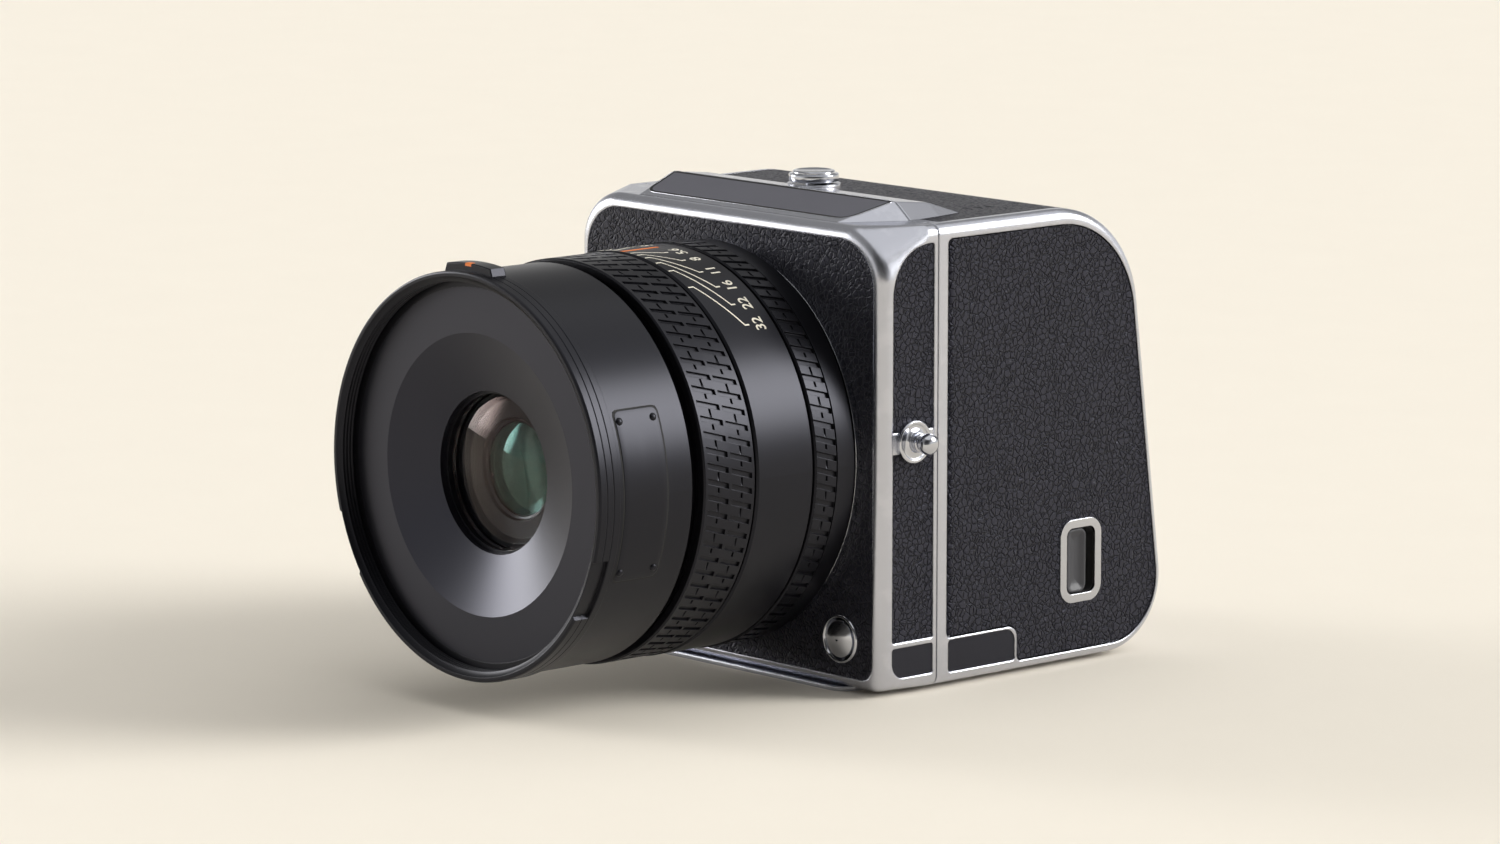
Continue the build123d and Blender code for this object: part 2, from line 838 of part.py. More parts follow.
def door_form(face, start_y, low_z, high_z, grow):
    """Door leaf whose front edge is rolled round its hinge pin."""
    knuckle = door_knuckle + grow
    axis_y = start_y + door_knuckle
    outline = offset(face, amount=grow) if grow else face
    leaf = side_panel(outline, door_axis_x - knuckle, door_axis_x + knuckle)
    leaf -= block(0, half_width + overrun, start_y - overrun, axis_y, low_z - overrun, high_z + overrun)
    roll_height = high_z - low_z + 2 * grow
    return leaf + Pos(door_axis_x, axis_y, (low_z + high_z) / 2) * Cylinder(knuckle, roll_height)


def door_pocket(face, start_y, low_z, high_z):
    """Room that a door needs in the housing, open to the side."""
    mouth = side_panel(offset(face, amount=seam_gap), door_axis_x, half_width + overrun)
    return door_form(face, start_y, low_z, high_z, seam_gap) + mouth


def hinge_pin(start_y, low_z, high_z, radius):
    """Upright pin that a door turns on, held above and below the door."""
    reach = seam_gap + hinge_pin_sink
    height = high_z - low_z + 2 * reach
    return Pos(door_axis_x, start_y + door_knuckle, (low_z + high_z) / 2) * Cylinder(radius, height)


def pill_panel(width, length, corner, x_low, x_high):
    """Round-cornered panel at the finger latch."""
    face = Plane.YZ * RectangleRounded(width, length, corner)
    return side_panel(Pos(0, behind(pill_depth), pill_height) * face, x_low, x_high)


pill_inner_width = pill_width - 2 * pill_wall
pill_inner_length = pill_length - 2 * pill_wall
pill_inner_corner = pill_corner - pill_wall


def latch_bezel():
    """Bright cup let into the battery door, in which the latch slides."""
    cup = pill_panel(pill_width, pill_length, pill_corner, half_width - pill_cup, half_width)
    return cup - pill_panel(pill_inner_width, pill_inner_length, pill_inner_corner,
                            half_width - pill_cup + pill_floor, half_width + overrun)


def latch_slider():
    """Ribbed finger slide in the cup. It rests against the front end of the cup."""
    x_low = half_width - pill_cup + pill_floor + seam_gap
    y_low = behind(pill_depth) - pill_inner_width / 2 + seam_gap
    y_high = behind(pill_depth) + pill_inner_width / 2 - seam_gap - latch_travel
    z_half = pill_inner_length / 2 - seam_gap
    slider = block(x_low, x_low + latch_thickness, y_low, y_high, pill_height - z_half, pill_height + z_half)
    slider = fillet(slider.edges().filter_by(Axis.X), pill_inner_corner - seam_gap)
    step = (y_high - y_low) / (latch_ridges + 1)
    for index in range(latch_ridges):
        y = y_low + (index + 1) * step
        ridge_z = z_half - pill_inner_corner
        slider += block(x_low, x_low + latch_thickness + latch_ridge, y - latch_ridge_width / 2,
                        y + latch_ridge_width / 2, pill_height - ridge_z, pill_height + ridge_z)
    return slider


def battery_door(pin_bore, leather_only):
    """Battery door: the leather, or the carrier under it, with the bore for the hinge pin."""
    door = door_form(battery_door_face(), panel_start_y, leather_step_z, panel_high_z, 0)
    skin_x = door_face_x - skin
    if leather_only:
        door -= block(0, skin_x, panel_start_y - overrun, back_y + back_length, 0, body_top)
    else:
        door -= block(skin_x, half_width + overrun, panel_start_y - overrun, back_y + back_length, 0, body_top)
    door -= pill_panel(pill_width, pill_length, pill_corner, half_width - pill_cup, half_width + overrun)
    return door - pin_bore


def back_side_face():
    """Outline of the leather on the far side of the back."""
    corners = [(panel_start_y, panel_low_z), panel_rear_low, panel_rear_top, (panel_start_y, panel_high_z)]
    return side_face(corners, [back_panel_corner, rear_low_panel_round, rear_top_panel_round, back_panel_corner])


port_start_y = behind(port_door_start)
port_end_y = behind(port_door_end)


def port_door_face():
    """Outline of the door over the sockets."""
    corners = [(port_start_y, port_door_low), (port_end_y, port_door_low),
               (port_end_y, port_door_high), (port_start_y, port_door_high)]
    return side_face(corners, [back_panel_corner] * len(corners))


def port_door():
    """Door over the sockets. It is made on the battery side and then mirrored."""
    door = door_form(port_door_face(), port_start_y, port_door_low, port_door_high, 0)
    door -= hinge_pin(port_start_y, port_door_low, port_door_high, hinge_pin_radius + pin_fit)
    return mirrored(door)


port_block_high_x = pocket_floor_x - port_block_setback
port_block_low_x = port_block_high_x - port_block_thickness
port_middle_y = (port_start_y + port_end_y) / 2
port_middle_z = (port_door_low + port_door_high) / 2


def port_bay():
    """Room for the socket block behind the port door."""
    return block(port_block_low_x, half_width, port_start_y + port_block_margin, port_end_y - port_block_margin,
                 port_door_low + port_block_margin, port_door_high - port_block_margin)


def port_holes():
    """Places of the round sockets and of the flat one, from the lowest up."""
    first = port_middle_z - port_jacks * port_pitch / 2
    return [first + index * port_pitch for index in range(port_jacks + 1)]


def port_sockets():
    """Three round sockets with a flat one above them."""
    places = port_holes()
    middle_x = port_block_high_x - port_socket_depth / 2
    sockets = Part()
    for z in places[:-1]:
        tube = Cylinder(port_jack_radius, port_socket_depth) - Cylinder(port_jack_bore, port_socket_depth)
        sockets += Pos(middle_x, port_middle_y, z) * Rot(Y=90) * tube
    shell = RectangleRounded(port_usb_width, port_usb_height, port_usb_width / 2 - port_usb_wall)
    inner_width = port_usb_width - 2 * port_usb_wall
    inner = RectangleRounded(inner_width, port_usb_height - 2 * port_usb_wall, inner_width / 2 - port_usb_wall)
    rim = Pos(0, port_middle_y, places[-1]) * (Plane.YZ * (shell - inner))
    return sockets + side_panel(rim, port_block_high_x - port_socket_depth, port_block_high_x)


def port_block():
    """Dark block that holds the sockets."""
    block_form = port_bay() & block(port_block_low_x, port_block_high_x, port_start_y, port_end_y,
                                    port_door_low, port_door_high)
    middle_x = port_block_high_x - port_socket_depth / 2
    for z in port_holes()[:-1]:
        hole = Rot(Y=90) * Cylinder(port_jack_radius, port_socket_depth)
        block_form -= Pos(middle_x, port_middle_y, z) * hole
    shell = RectangleRounded(port_usb_width, port_usb_height, port_usb_width / 2 - port_usb_wall)
    opening = Pos(0, port_middle_y, port_holes()[-1]) * (Plane.YZ * shell)
    return block_form - side_panel(opening, port_block_high_x - port_socket_depth, port_block_high_x)


bay_end_x = pocket_floor_x - bay_setback


def battery(mouth_x):
    """Flat battery pack, or its bay when it reaches on to the pocket of the door."""
    low_x = battery_stop - port_block_low_x
    pack = block(low_x, mouth_x, behind(battery_start), behind(battery_start + battery_thickness),
                 battery_low, battery_low + battery_height)
    return fillet(pack.edges().filter_by(Axis.X), battery_round)


def memory_cards(mouth_x):
    """Two memory cards side by side, or their slots when they reach on to the pocket of the door."""
    cards = Part()
    for index in range(card_count):
        y_low = behind(card_setback + index * card_pitch)
        cards += block(bay_end_x - card_length, mouth_x, y_low, y_low + card_thickness, card_low, card_low + card_width)
    return cards


def release_slider():
    """Round cap of the release, on a neck in its slot."""
    y = behind(slider_setback)
    cap = Pos(0, y, slider_cap_top - slider_cap_height / 2) * Cylinder(slider_cap_radius, slider_cap_height)
    cap = chamfer(cap.edges().filter_by(GeomType.CIRCLE), slider_cap_bevel)
    neck_top = slider_cap_top - slider_cap_height
    return cap + Pos(0, y, neck_top - slider_neck_length / 2) * Cylinder(slider_neck_radius, slider_neck_length)


def slider_slot():
    """Slot along which the neck of the release slides."""
    y = behind(slider_setback)
    reach = slider_neck_radius + seam_gap
    low_z = slider_cap_top - slider_cap_height - slider_neck_length - seam_gap
    return block(-reach, reach + slider_travel, y - reach, y + reach, low_z, slider_cap_top)


def foot_plate():
    """Thin dark plate under the back."""
    plate = Pos(0, back_y + foot_plate_length / 2, base_thickness / 2) \
        * Box(2 * foot_plate_half, foot_plate_length, base_thickness)
    return fillet(plate.edges().filter_by(Axis.Z).group_by(Axis.Y)[-1], foot_plate_corner)


rear_plate_height = flat_end - flat_start - 2 * rear_plate_margin
screen_top_y = rear_plate_height / 2 - screen_top_margin
screen_low_y = -rear_plate_height / 2 + button_band
screen_knuckle = screen_thickness / 2
screen_axis_y = screen_top_y - screen_knuckle
screen_axis_z = -screen_drop - screen_knuckle
button_row_y = -rear_plate_height / 2 + button_margin + button_height / 2


def screen_form(grow):
    """Screen module in the frame of the rear face. Its top edge is rolled round the hinge."""
    knuckle = screen_knuckle + grow
    half = screen_half + grow
    slab = block(-half, half, screen_low_y - grow, screen_axis_y, screen_axis_z - knuckle, screen_axis_z + knuckle)
    slab = fillet(slab.edges().filter_by(Axis.Z).group_by(Axis.Y)[0], screen_corner)
    roll = Pos(0, screen_axis_y, screen_axis_z) * Rot(Y=90) * Cylinder(knuckle, 2 * half)
    return slab + roll


def screen_pocket():
    """Room for the screen module, open to the rear."""
    half = screen_half + seam_gap
    mouth = block(-half, half, screen_low_y + screen_corner, screen_top_y + seam_gap, screen_axis_z, overrun)
    low = block(-half, half, screen_low_y - seam_gap, screen_axis_y, screen_axis_z, overrun)
    low = fillet(low.edges().filter_by(Axis.Z).group_by(Axis.Y)[0], screen_corner)
    return screen_form(seam_gap) + mouth + low


def screen_glass():
    """Glass of the screen, let into the frame."""
    half = screen_half - screen_glass_border
    top = screen_axis_y - screen_glass_border
    low = screen_low_y + screen_glass_border
    outer = screen_axis_z + screen_knuckle
    glass = block(-half, half, low, top, outer - screen_glass_thickness, outer)
    return fillet(glass.edges().filter_by(Axis.Z), screen_corner / 2)


def screen_pin(radius, reach):
    """Hinge pin along the top of the screen."""
    return Pos(0, screen_axis_y, screen_axis_z) * Rot(Y=90) * Cylinder(radius, 2 * (screen_half + reach))


def rear_button(index, grow, low, high):
    """One of the buttons in the row under the screen, in the frame of the rear face."""
    x = (index - (buttons - 1) / 2) * button_pitch
    face = RectangleRounded(button_width + 2 * grow, button_height + 2 * grow, button_corner + grow)
    return extrude(Pos(x, button_row_y, low) * face, amount=high - low)


def rear_plate():
    """Black plate round the screen and the buttons."""
    face = RectangleRounded(2 * rear_plate_half, rear_plate_height, rear_plate_corner)
    plate = extrude(Pos(0, 0, -skin) * face, amount=skin)
    plate -= screen_pocket()
    for index in range(buttons):
        plate -= rear_button(index, seam_gap, -button_depth, overrun)
    return plate


def inner_panel(half, low_z, high_z, depth, thickness):
    """Flat upright piece inside the back, by its depth behind the seam."""
    return block(-half, half, back_y + depth, back_y + depth + thickness, low_z, high_z)


filter_depth = plate_thickness
package_depth = filter_depth + filter_glass_thickness
board_depth = package_depth + sensor_package_thickness
main_depth = board_depth + board_thickness + board_gap


def chamber():
    """Room for the sensor and its boards, open to the front."""
    return inner_panel(chamber_half, chamber_low, chamber_high, 0, chamber_depth)


def sensor_plate():
    """Front plate of the back with the window of the sensor."""
    plate = inner_panel(chamber_half + plate_margin, chamber_low - plate_margin, chamber_high + plate_margin,
                        0, plate_thickness)
    plate = fillet(plate.edges().filter_by(Axis.Y), chamber_corner)
    return plate - inner_panel(window_half, lens_height - window_height / 2, lens_height + window_height / 2,
                               0, plate_thickness)


def filter_glass():
    """Clear filter in front of the sensor."""
    half_height = window_height / 2 + filter_margin
    return inner_panel(window_half + filter_margin, lens_height - half_height, lens_height + half_height,
                       filter_depth, filter_glass_thickness)


def sensor():
    """Sensor chip and the package round it."""
    half = sensor_width / 2
    half_height = sensor_height / 2
    chip = inner_panel(half, lens_height - half_height, lens_height + half_height, package_depth, sensor_thickness)
    package = inner_panel(half + sensor_package_margin, lens_height - half_height - sensor_package_margin,
                          lens_height + half_height + sensor_package_margin, package_depth, sensor_package_thickness)
    return Part() + [chip, package - chip]


def board(depth):
    """Circuit board that fills the chamber but for a margin."""
    return inner_panel(chamber_half - board_margin, chamber_low + board_margin, chamber_high - board_margin,
                       depth, board_thickness)


def main_board():
    """Main board with its chips, standing on four posts, with four more up to the sensor board."""
    depth = main_depth
    piece = board(depth)
    for index in range(board_chips):
        x = (index - (board_chips - 1) / 2) * chip_pitch
        piece += Pos(x, 0, 0) * inner_panel(chip_size / 2, lens_height - chip_size / 2, lens_height + chip_size / 2,
                                            depth + board_thickness, chip_thickness)
    for x in (-chamber_half + post_inset, chamber_half - post_inset):
        for z in (chamber_low + post_inset, chamber_high - post_inset):
            piece += rod(post_radius, back_y + board_depth + board_thickness, back_y + chamber_depth, x, z)
    return piece


def sensor_board():
    """Board behind the sensor, with the posts that it hangs on from the front plate."""
    piece = board(board_depth)
    for x in (-chamber_half + post_inset, chamber_half - post_inset):
        for z in (chamber_low + post_inset, chamber_high - post_inset):
            piece += rod(post_radius, back_y + plate_thickness, back_y + board_depth, x, z)
    return piece


def back_housing(inlays, rear_inlays):
    """Bright frame of the digital back, with the seats of everything that is let into it."""
    housing = back_form() + back_hump()
    housing -= chamber()
    housing -= door_pocket(battery_door_face(), panel_start_y, leather_step_z, panel_high_z)
    housing -= battery(pocket_floor_x + overrun)
    housing -= memory_cards(pocket_floor_x + overrun)
    housing -= mirrored(door_pocket(port_door_face(), port_start_y, port_door_low, port_door_high))
    housing -= mirrored(port_bay())
    housing -= slider_slot()
    housing -= top_slot_cuts()
    housing -= rear_plane * screen_pocket()
    for index in range(buttons):
        housing -= rear_plane * rear_button(index, seam_gap, -button_depth - button_travel - seam_gap, overrun)
    for inlay in inlays:
        housing -= inlay
    for inlay in rear_inlays:
        housing -= rear_plane * inlay
    return housing


def lens_flange():
    """Bright lens mount: a flat flange, a collar and three lugs that sit behind the claws."""
    front = ahead(flange_reach + flange_thickness)
    rear = ahead(flange_reach)
    tail = rear + collar_length
    flange = turned([(collar_bore, front), (flange_radius, front), (flange_radius, rear),
                     (collar_radius, rear), (collar_radius, tail), (collar_bore, tail)])
    lug_front = ahead(mount_rise) + mount_tab_thickness + seam_gap
    for index in range(mount_tabs):
        middle = 90 + index * 360 / mount_tabs
        flange += sector(collar_bore, lug_radius, lens_lug_angle, lug_front, lug_front + lug_thickness, middle)
    return flange


flange_front_reach = flange_reach + flange_thickness
tail_end = control_start - seam_gap


def lens_barrel():
    """Long tube that carries the whole lens, with the smooth tail behind the control ring."""
    return turned([(core_bore, ahead(core_end)), (core_radius, ahead(core_end)), (core_radius, ahead(tail_end)),
                   (tail_radius, ahead(tail_end)), (tail_radius, ahead(tail_full_reach)),
                   (tail_small_radius, ahead(tail_reach)), (flange_radius, ahead(tail_reach)),
                   (flange_radius, ahead(flange_front_reach)), (core_bore, ahead(flange_front_reach))])


def plain_ring(inner, outer, start, end, bevel):
    """Ring between two reaches, with both outer edges bevelled."""
    return turned([(inner, ahead(start)), (inner, ahead(end)), (outer - bevel, ahead(end)),
                   (outer, ahead(end - bevel)), (outer, ahead(start + bevel)), (outer - bevel, ahead(start))])


def cut_ribs(ring, radius, middle, run):
    """Cut a row of slanted grooves round a ring, this far in front of the ring's middle. Rows
    keep one slant: the row turns by as much as a groove would over the same run."""
    along = groove_length / cos(radians(rib_slant))
    groove = Pos(radius, ahead(middle + run), 0) * Rot(X=-rib_slant) * Box(2 * groove_depth, along, groove_width)
    shift = -degrees(run * tan(radians(rib_slant)) / radius)
    step = 360 / ribs
    cuts = [Pos(0, 0, lens_height) * Rot(Y=index * step + shift) * groove for index in range(ribs)]
    return ring - cuts


def control_ring():
    """Ribbed ring near the body."""
    ring = plain_ring(core_radius + seam_gap, control_radius, control_start, control_end, ring_bevel)
    return cut_ribs(ring, control_radius, (control_start + control_end) / 2, 0)


def scale_barrel():
    """Smooth band between the two turning rings, which carries the scale."""
    return plain_ring(core_radius, scale_radius, scale_start, scale_end, scale_bevel)


def focus_sleeve():
    """Sleeve that slides on the barrel and lets the focus ring turn on it."""
    inner = core_radius + seam_gap
    front = ahead(focus_end - sleeve_margin)
    rear = ahead(focus_start + sleeve_margin)
    return turned([(inner, front), (inner + sleeve_wall, front), (inner + sleeve_wall, rear), (inner, rear)])


def focus_ring():
    """Broad focus ring with two rows of ribs."""
    inner = core_radius + 2 * seam_gap + sleeve_wall
    ring = plain_ring(inner, focus_radius, focus_start, focus_end, ring_bevel)
    middle = (focus_start + focus_end) / 2
    run = (groove_length + groove_row_gap) / 2
    ring = cut_ribs(ring, focus_radius, middle, run)
    return cut_ribs(ring, focus_radius, middle, -run)


def front_barrel():
    """Smooth front barrel behind the rim."""
    return turned([(core_radius, ahead(barrel_start)), (barrel_radius, ahead(barrel_start)),
                   (barrel_radius, ahead(barrel_end)), (core_radius, ahead(barrel_end))])


def filter_rim():
    """Front rim with the filter thread, whose turns are left out, and the lug and the two entry
    slots for a hood."""
    rim = turned([(thread_radius, ahead(barrel_end)), (rim_radius, ahead(barrel_end)),
                  (rim_radius, ahead(rim_end - rim_round)), (rim_radius - rim_round, ahead(rim_end)),
                  (rim_mouth, ahead(rim_end)), (thread_radius, ahead(thread_end))])
    rim += sector(barrel_radius, tab_radius, tab_angle, ahead(tab_end), ahead(tab_start), 90)
    slot = sector(rim_radius - hood_slot_depth, tab_radius, hood_slot_angle, ahead(rim_end + overrun),
                  ahead(hood_slot_start), hood_slot_middle)
    return rim - slot - mirrored(slot)


def name_ring():
    """Bare flat ring inside the rim, with the satin cone that leads in to the glass."""
    thickness = barrel_end - core_end
    return turned([(core_radius, ahead(barrel_end)), (name_ring_inner, ahead(barrel_end)),
                   (cone_inner, ahead(cone_end)), (cone_inner, ahead(cone_end - thickness)),
                   (name_ring_inner, ahead(core_end)), (core_radius, ahead(core_end))])


def lens_cells():
    """Two thick tubes that hold the glass, in front of the shutter and behind it."""
    cone_back = cone_end - (barrel_end - core_end)
    front_cell = turned([(cell_bore, ahead(front_cell_start)), (core_bore, ahead(front_cell_start)),
                         (core_bore, ahead(core_end)), (name_ring_inner, ahead(core_end)),
                         (cone_inner, ahead(cone_back)), (cell_bore, ahead(cone_back))])
    tail_radius_inside = collar_bore - seat_fit
    rear_cell = turned([(rear_cell_bore, ahead(shutter_start)), (core_bore, ahead(shutter_start)),
                        (core_bore, ahead(flange_front_reach)), (tail_radius_inside, ahead(flange_front_reach)),
                        (tail_radius_inside, behind(rear_cell_tail)), (rear_cell_bore, behind(rear_cell_tail))])
    return front_cell + rear_cell


def glass(radius, rim, edge, front_bulge, rear_bulge):
    """Lens element with curved faces. A negative bulge is a hollow."""
    front = ahead(rim)
    rear = ahead(rim - edge)
    outline = Line((0, front - front_bulge), (0, rear + rear_bulge)) + crown(radius, rear, -rear_bulge)
    outline += Line((radius, rear), (radius, front)) + crown(radius, front, front_bulge)
    return Pos(0, 0, lens_height) * revolve(make_face(outline), Axis.Y)


def front_glass():
    """Front lens element, a thin shell of glass that bulges forward."""
    return glass(cell_bore - seat_fit, front_glass_rim, front_glass_edge, front_glass_bulge, -front_glass_hollow)


def inner_glass():
    """The element in front of the shutter and the one behind it."""
    middle = glass(cell_bore - seat_fit, middle_glass_rim, middle_glass_edge, middle_glass_bulge, middle_glass_bulge)
    rear = glass(rear_cell_bore - seat_fit, rear_glass_rim, rear_glass_edge, rear_glass_bulge, rear_glass_bulge)
    return middle + rear


blade_slot_start = (shutter_start + front_cell_start - blade_slot) / 2


def shutter_unit():
    """Ring between the two cells with the slot in which the blades lie."""
    slot_end = blade_slot_start + blade_slot
    slot_floor = blade_outer + seam_gap
    return turned([(shutter_bore, ahead(shutter_start)), (core_bore, ahead(shutter_start)),
                   (core_bore, ahead(front_cell_start)), (shutter_bore, ahead(front_cell_start)),
                   (shutter_bore, ahead(slot_end)), (slot_floor, ahead(slot_end)),
                   (slot_floor, ahead(blade_slot_start)), (shutter_bore, ahead(blade_slot_start))])


def shutter_blades():
    """Thin blades that leave a round opening."""
    step = 360 / blade_count
    front = ahead(blade_slot_start + blade_slot / 2 + blade_thickness / 2)
    blades = Part()
    for index in range(blade_count):
        blades += sector(blade_aperture, blade_outer, step - blade_gap_angle, front, front + blade_thickness,
                         index * step)
    return blades


def barrel_plate():
    """Bare plate on the side of the front barrel."""
    return sector(barrel_radius - name_plate_sink, barrel_radius + name_plate_thickness, name_plate_angle,
                  ahead(name_plate_end), ahead(name_plate_start), 0)


def barrel_rivets():
    """Four rivets in the corners of the barrel plate."""
    side_angle = name_plate_angle / 2 - degrees(2 * rivet_margin / barrel_radius)
    outer = barrel_radius + name_plate_thickness + rivet_rise
    middle = outer - rivet_length / 2
    rivets = Part()
    for angle in (-side_angle, side_angle):
        for reach in (name_plate_start + rivet_margin, name_plate_end - rivet_margin):
            rivet = Pos(middle, ahead(reach), 0) * Rot(Y=90) * Cylinder(rivet_radius, rivet_length)
            rivets += Pos(0, 0, lens_height) * Rot(Y=-angle) * rivet
    return rivets


def build_front():
    """Pieces of the front part."""
    side_leather = front_side_leather(leather_over_badge_z)
    far_leather = mirrored(front_side_leather(badge_low_z))
    badge = front_badge()
    lug = strap_lug()
    lugs = [lug, mirrored(lug)]
    leather = front_leather()
    plate = top_plate()
    screws = mount_screw_group()
    recesses = [side_recess(side_leather_face(leather_over_badge_z)), side_recess(front_badge_face()),
                mirrored(side_recess(side_leather_face(badge_low_z)))]
    inlays = recesses + [side_leather, far_leather, badge, leather, plate, screws] + lugs
    return {
        "front_housing": front_housing(inlays), "front_leather": leather,
        "front_side_leather": side_leather + far_leather, "front_badge_plate": badge, "top_plate": plate,
        "base_plate": base_plate(), "tripod_socket": tripod_socket(), "strap_lugs": lugs[0] + lugs[1],
        "release_bezel": release_bezel(), "lens_release_button": lens_release_button(),
        "control_wheel": control_wheel(), "shutter_button": shutter_button(),
        "mount_ring": mount_ring() - screws, "mount_screws": screws, "body_contacts": body_contacts(),
    }


def build_back():
    """Pieces of the digital back."""
    door_pin = hinge_pin(panel_start_y, leather_step_z, panel_high_z, hinge_pin_radius)
    door_bore = hinge_pin(panel_start_y, leather_step_z, panel_high_z, hinge_pin_radius + pin_fit)
    port_pin = mirrored(hinge_pin(port_start_y, port_door_low, port_door_high, hinge_pin_radius))
    screen_hinge = rear_plane * screen_pin(screen_pin_radius, seam_gap + hinge_pin_sink)
    pins = door_pin + port_pin + screen_hinge
    far_pocket = mirrored(door_pocket(port_door_face(), port_start_y, port_door_low, port_door_high))
    far_leather = mirrored(side_panel(back_side_face(), door_face_x - skin, door_face_x)) - far_pocket
    badge = back_badge()
    leather = top_leather()
    plate = sensor_plate()
    recesses = [side_recess(back_badge_face()), mirrored(side_recess(back_side_face()))]
    inlays = recesses + [far_leather, badge, leather, plate, door_pin, port_pin, screen_hinge]
    glass_piece = screen_glass()
    frame_piece = screen_form(0) - glass_piece - screen_pin(screen_pin_radius + pin_fit, overrun)
    pieces = {
        "back_housing": back_housing(inlays, [rear_plate()]), "foot_plate": foot_plate(), "top_leather": leather,
        "back_side_leather": far_leather, "back_badge_plate": badge, "release_slider": release_slider(),
        "battery_door": battery_door(door_bore, False), "door_leather": battery_door(door_bore, True),
        "latch_bezel": latch_bezel(), "latch_slider": latch_slider(), "hinge_pins": pins,
        "battery": battery(bay_end_x), "memory_cards": memory_cards(bay_end_x), "port_door": port_door(),
        "port_block": mirrored(port_block()), "port_sockets": mirrored(port_sockets()),
        "rear_plate": rear_plane * rear_plate(), "screen_frame": rear_plane * frame_piece,
        "screen_glass": rear_plane * glass_piece, "sensor_plate": plate, "filter_glass": filter_glass(),
        "sensor": sensor(), "sensor_board": sensor_board(), "main_board": main_board(),
    }
    for index in range(buttons):
        button = rear_button(index, 0, -button_depth, button_rise)
        pieces[f"rear_button_{index + 1}"] = rear_plane * button
    return pieces


def build_lens():
    """Pieces of the lens."""
    plate = barrel_plate()
    rivets = barrel_rivets()
    return {
        "lens_flange": lens_flange(), "lens_barrel": lens_barrel(), "control_ring": control_ring(),
        "scale_barrel": scale_barrel(), "focus_sleeve": focus_sleeve(), "focus_ring": focus_ring(),
        "front_barrel": front_barrel() - plate - rivets, "filter_rim": filter_rim(), "name_ring": name_ring(),
        "lens_cells": lens_cells(), "front_glass": front_glass(), "inner_glass": inner_glass(),
        "shutter_unit": shutter_unit(), "shutter_blades": shutter_blades(),
        "barrel_plate": plate - rivets, "barrel_rivets": rivets,
    }


os.makedirs("parts", exist_ok=True)
for build in (build_front, build_back, build_lens):
    for node, piece in build().items():
        export_step(piece, f"parts/{node}.step")
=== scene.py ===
from math import cos, pi, radians, sin

import bmesh
import bpy
import numpy as np
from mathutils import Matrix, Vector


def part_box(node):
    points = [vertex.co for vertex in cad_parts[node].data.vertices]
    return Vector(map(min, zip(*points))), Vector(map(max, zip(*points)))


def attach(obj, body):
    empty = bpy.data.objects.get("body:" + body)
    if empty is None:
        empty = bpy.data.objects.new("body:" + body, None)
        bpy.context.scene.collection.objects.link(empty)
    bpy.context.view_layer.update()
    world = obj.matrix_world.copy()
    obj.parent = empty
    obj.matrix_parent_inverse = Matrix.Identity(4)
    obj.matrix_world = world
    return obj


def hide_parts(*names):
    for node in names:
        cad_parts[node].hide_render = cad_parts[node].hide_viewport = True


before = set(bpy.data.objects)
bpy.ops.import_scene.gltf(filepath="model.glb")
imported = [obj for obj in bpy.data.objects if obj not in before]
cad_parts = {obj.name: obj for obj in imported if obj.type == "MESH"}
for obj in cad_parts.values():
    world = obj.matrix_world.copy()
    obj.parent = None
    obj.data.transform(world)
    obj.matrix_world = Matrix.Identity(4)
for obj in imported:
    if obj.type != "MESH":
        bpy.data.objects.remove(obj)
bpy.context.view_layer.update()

# Medium format digital camera. The object stands on the base plate under its front part,
# the lens looks along -Y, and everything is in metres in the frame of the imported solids.

MM = 0.001


# Body frames. Two cast frames, ground smooth and satin chromed: a slim front one for the
# lens and a deep one for the digital back. Handling has polished them here and there.

class Wire:
    """A socket in a material's node tree. Arithmetic on wires and numbers adds Math nodes."""

    def __init__(self, tree, socket=None):
        self.tree = tree
        self.socket = socket

    def node(self, kind, settings, sockets, output=0):
        """Adds a node. Its settings come first, then each socket gets a value or a link."""
        made = self.tree.nodes.new("ShaderNode" + kind)
        for name, value in settings.items():
            setattr(made, name, value)
        for name, value in sockets.items():
            if isinstance(value, Wire):
                self.tree.links.new(value.socket, made.inputs[name])
            else:
                made.inputs[name].default_value = value
        return Wire(self.tree, made.outputs[output] if len(made.outputs) else None)

    def math(self, operation, *values):
        return self.node("Math", {"operation": operation}, dict(enumerate(values)))

    def __add__(self, other):
        return self.math("ADD", self, other)

    def __sub__(self, other):
        return self.math("SUBTRACT", self, other)

    def __rsub__(self, other):
        return self.math("SUBTRACT", other, self)

    def __mul__(self, other):
        return self.math("MULTIPLY", self, other)

    __radd__ = __add__
    __rmul__ = __mul__

    def between(self, low, high):
        """Smooth step from 0 at low to 1 at high."""
        return self.node("MapRange", {"interpolation_type": "SMOOTHSTEP"},
                         {"Value": self, "From Min": low, "From Max": high})

    def blend(self, first, second):
        """Colour that goes from the first to the second as this wire goes from 0 to 1."""
        return self.node("Mix", {"data_type": "RGBA"}, {0: self, 6: first, 7: second}, 2)


def paint(red, green, blue):
    """Linear colour of a screen colour from 0 to 255: the screen's curve undone."""
    share = np.array([red, green, blue]) / 255
    linear = np.where(share <= 0.04045, share / 12.92, ((share + 0.055) / 1.055) ** 2.4)
    return (*linear.tolist(), 1.0)


def begin(name):
    """Empty material, and a wire and object coordinates to build its nodes from."""
    material = bpy.data.materials.new(name)
    material.use_nodes = True
    material.node_tree.nodes.clear()
    root = Wire(material.node_tree)
    return material, root, root.node("TexCoord", {}, {}, "Object")


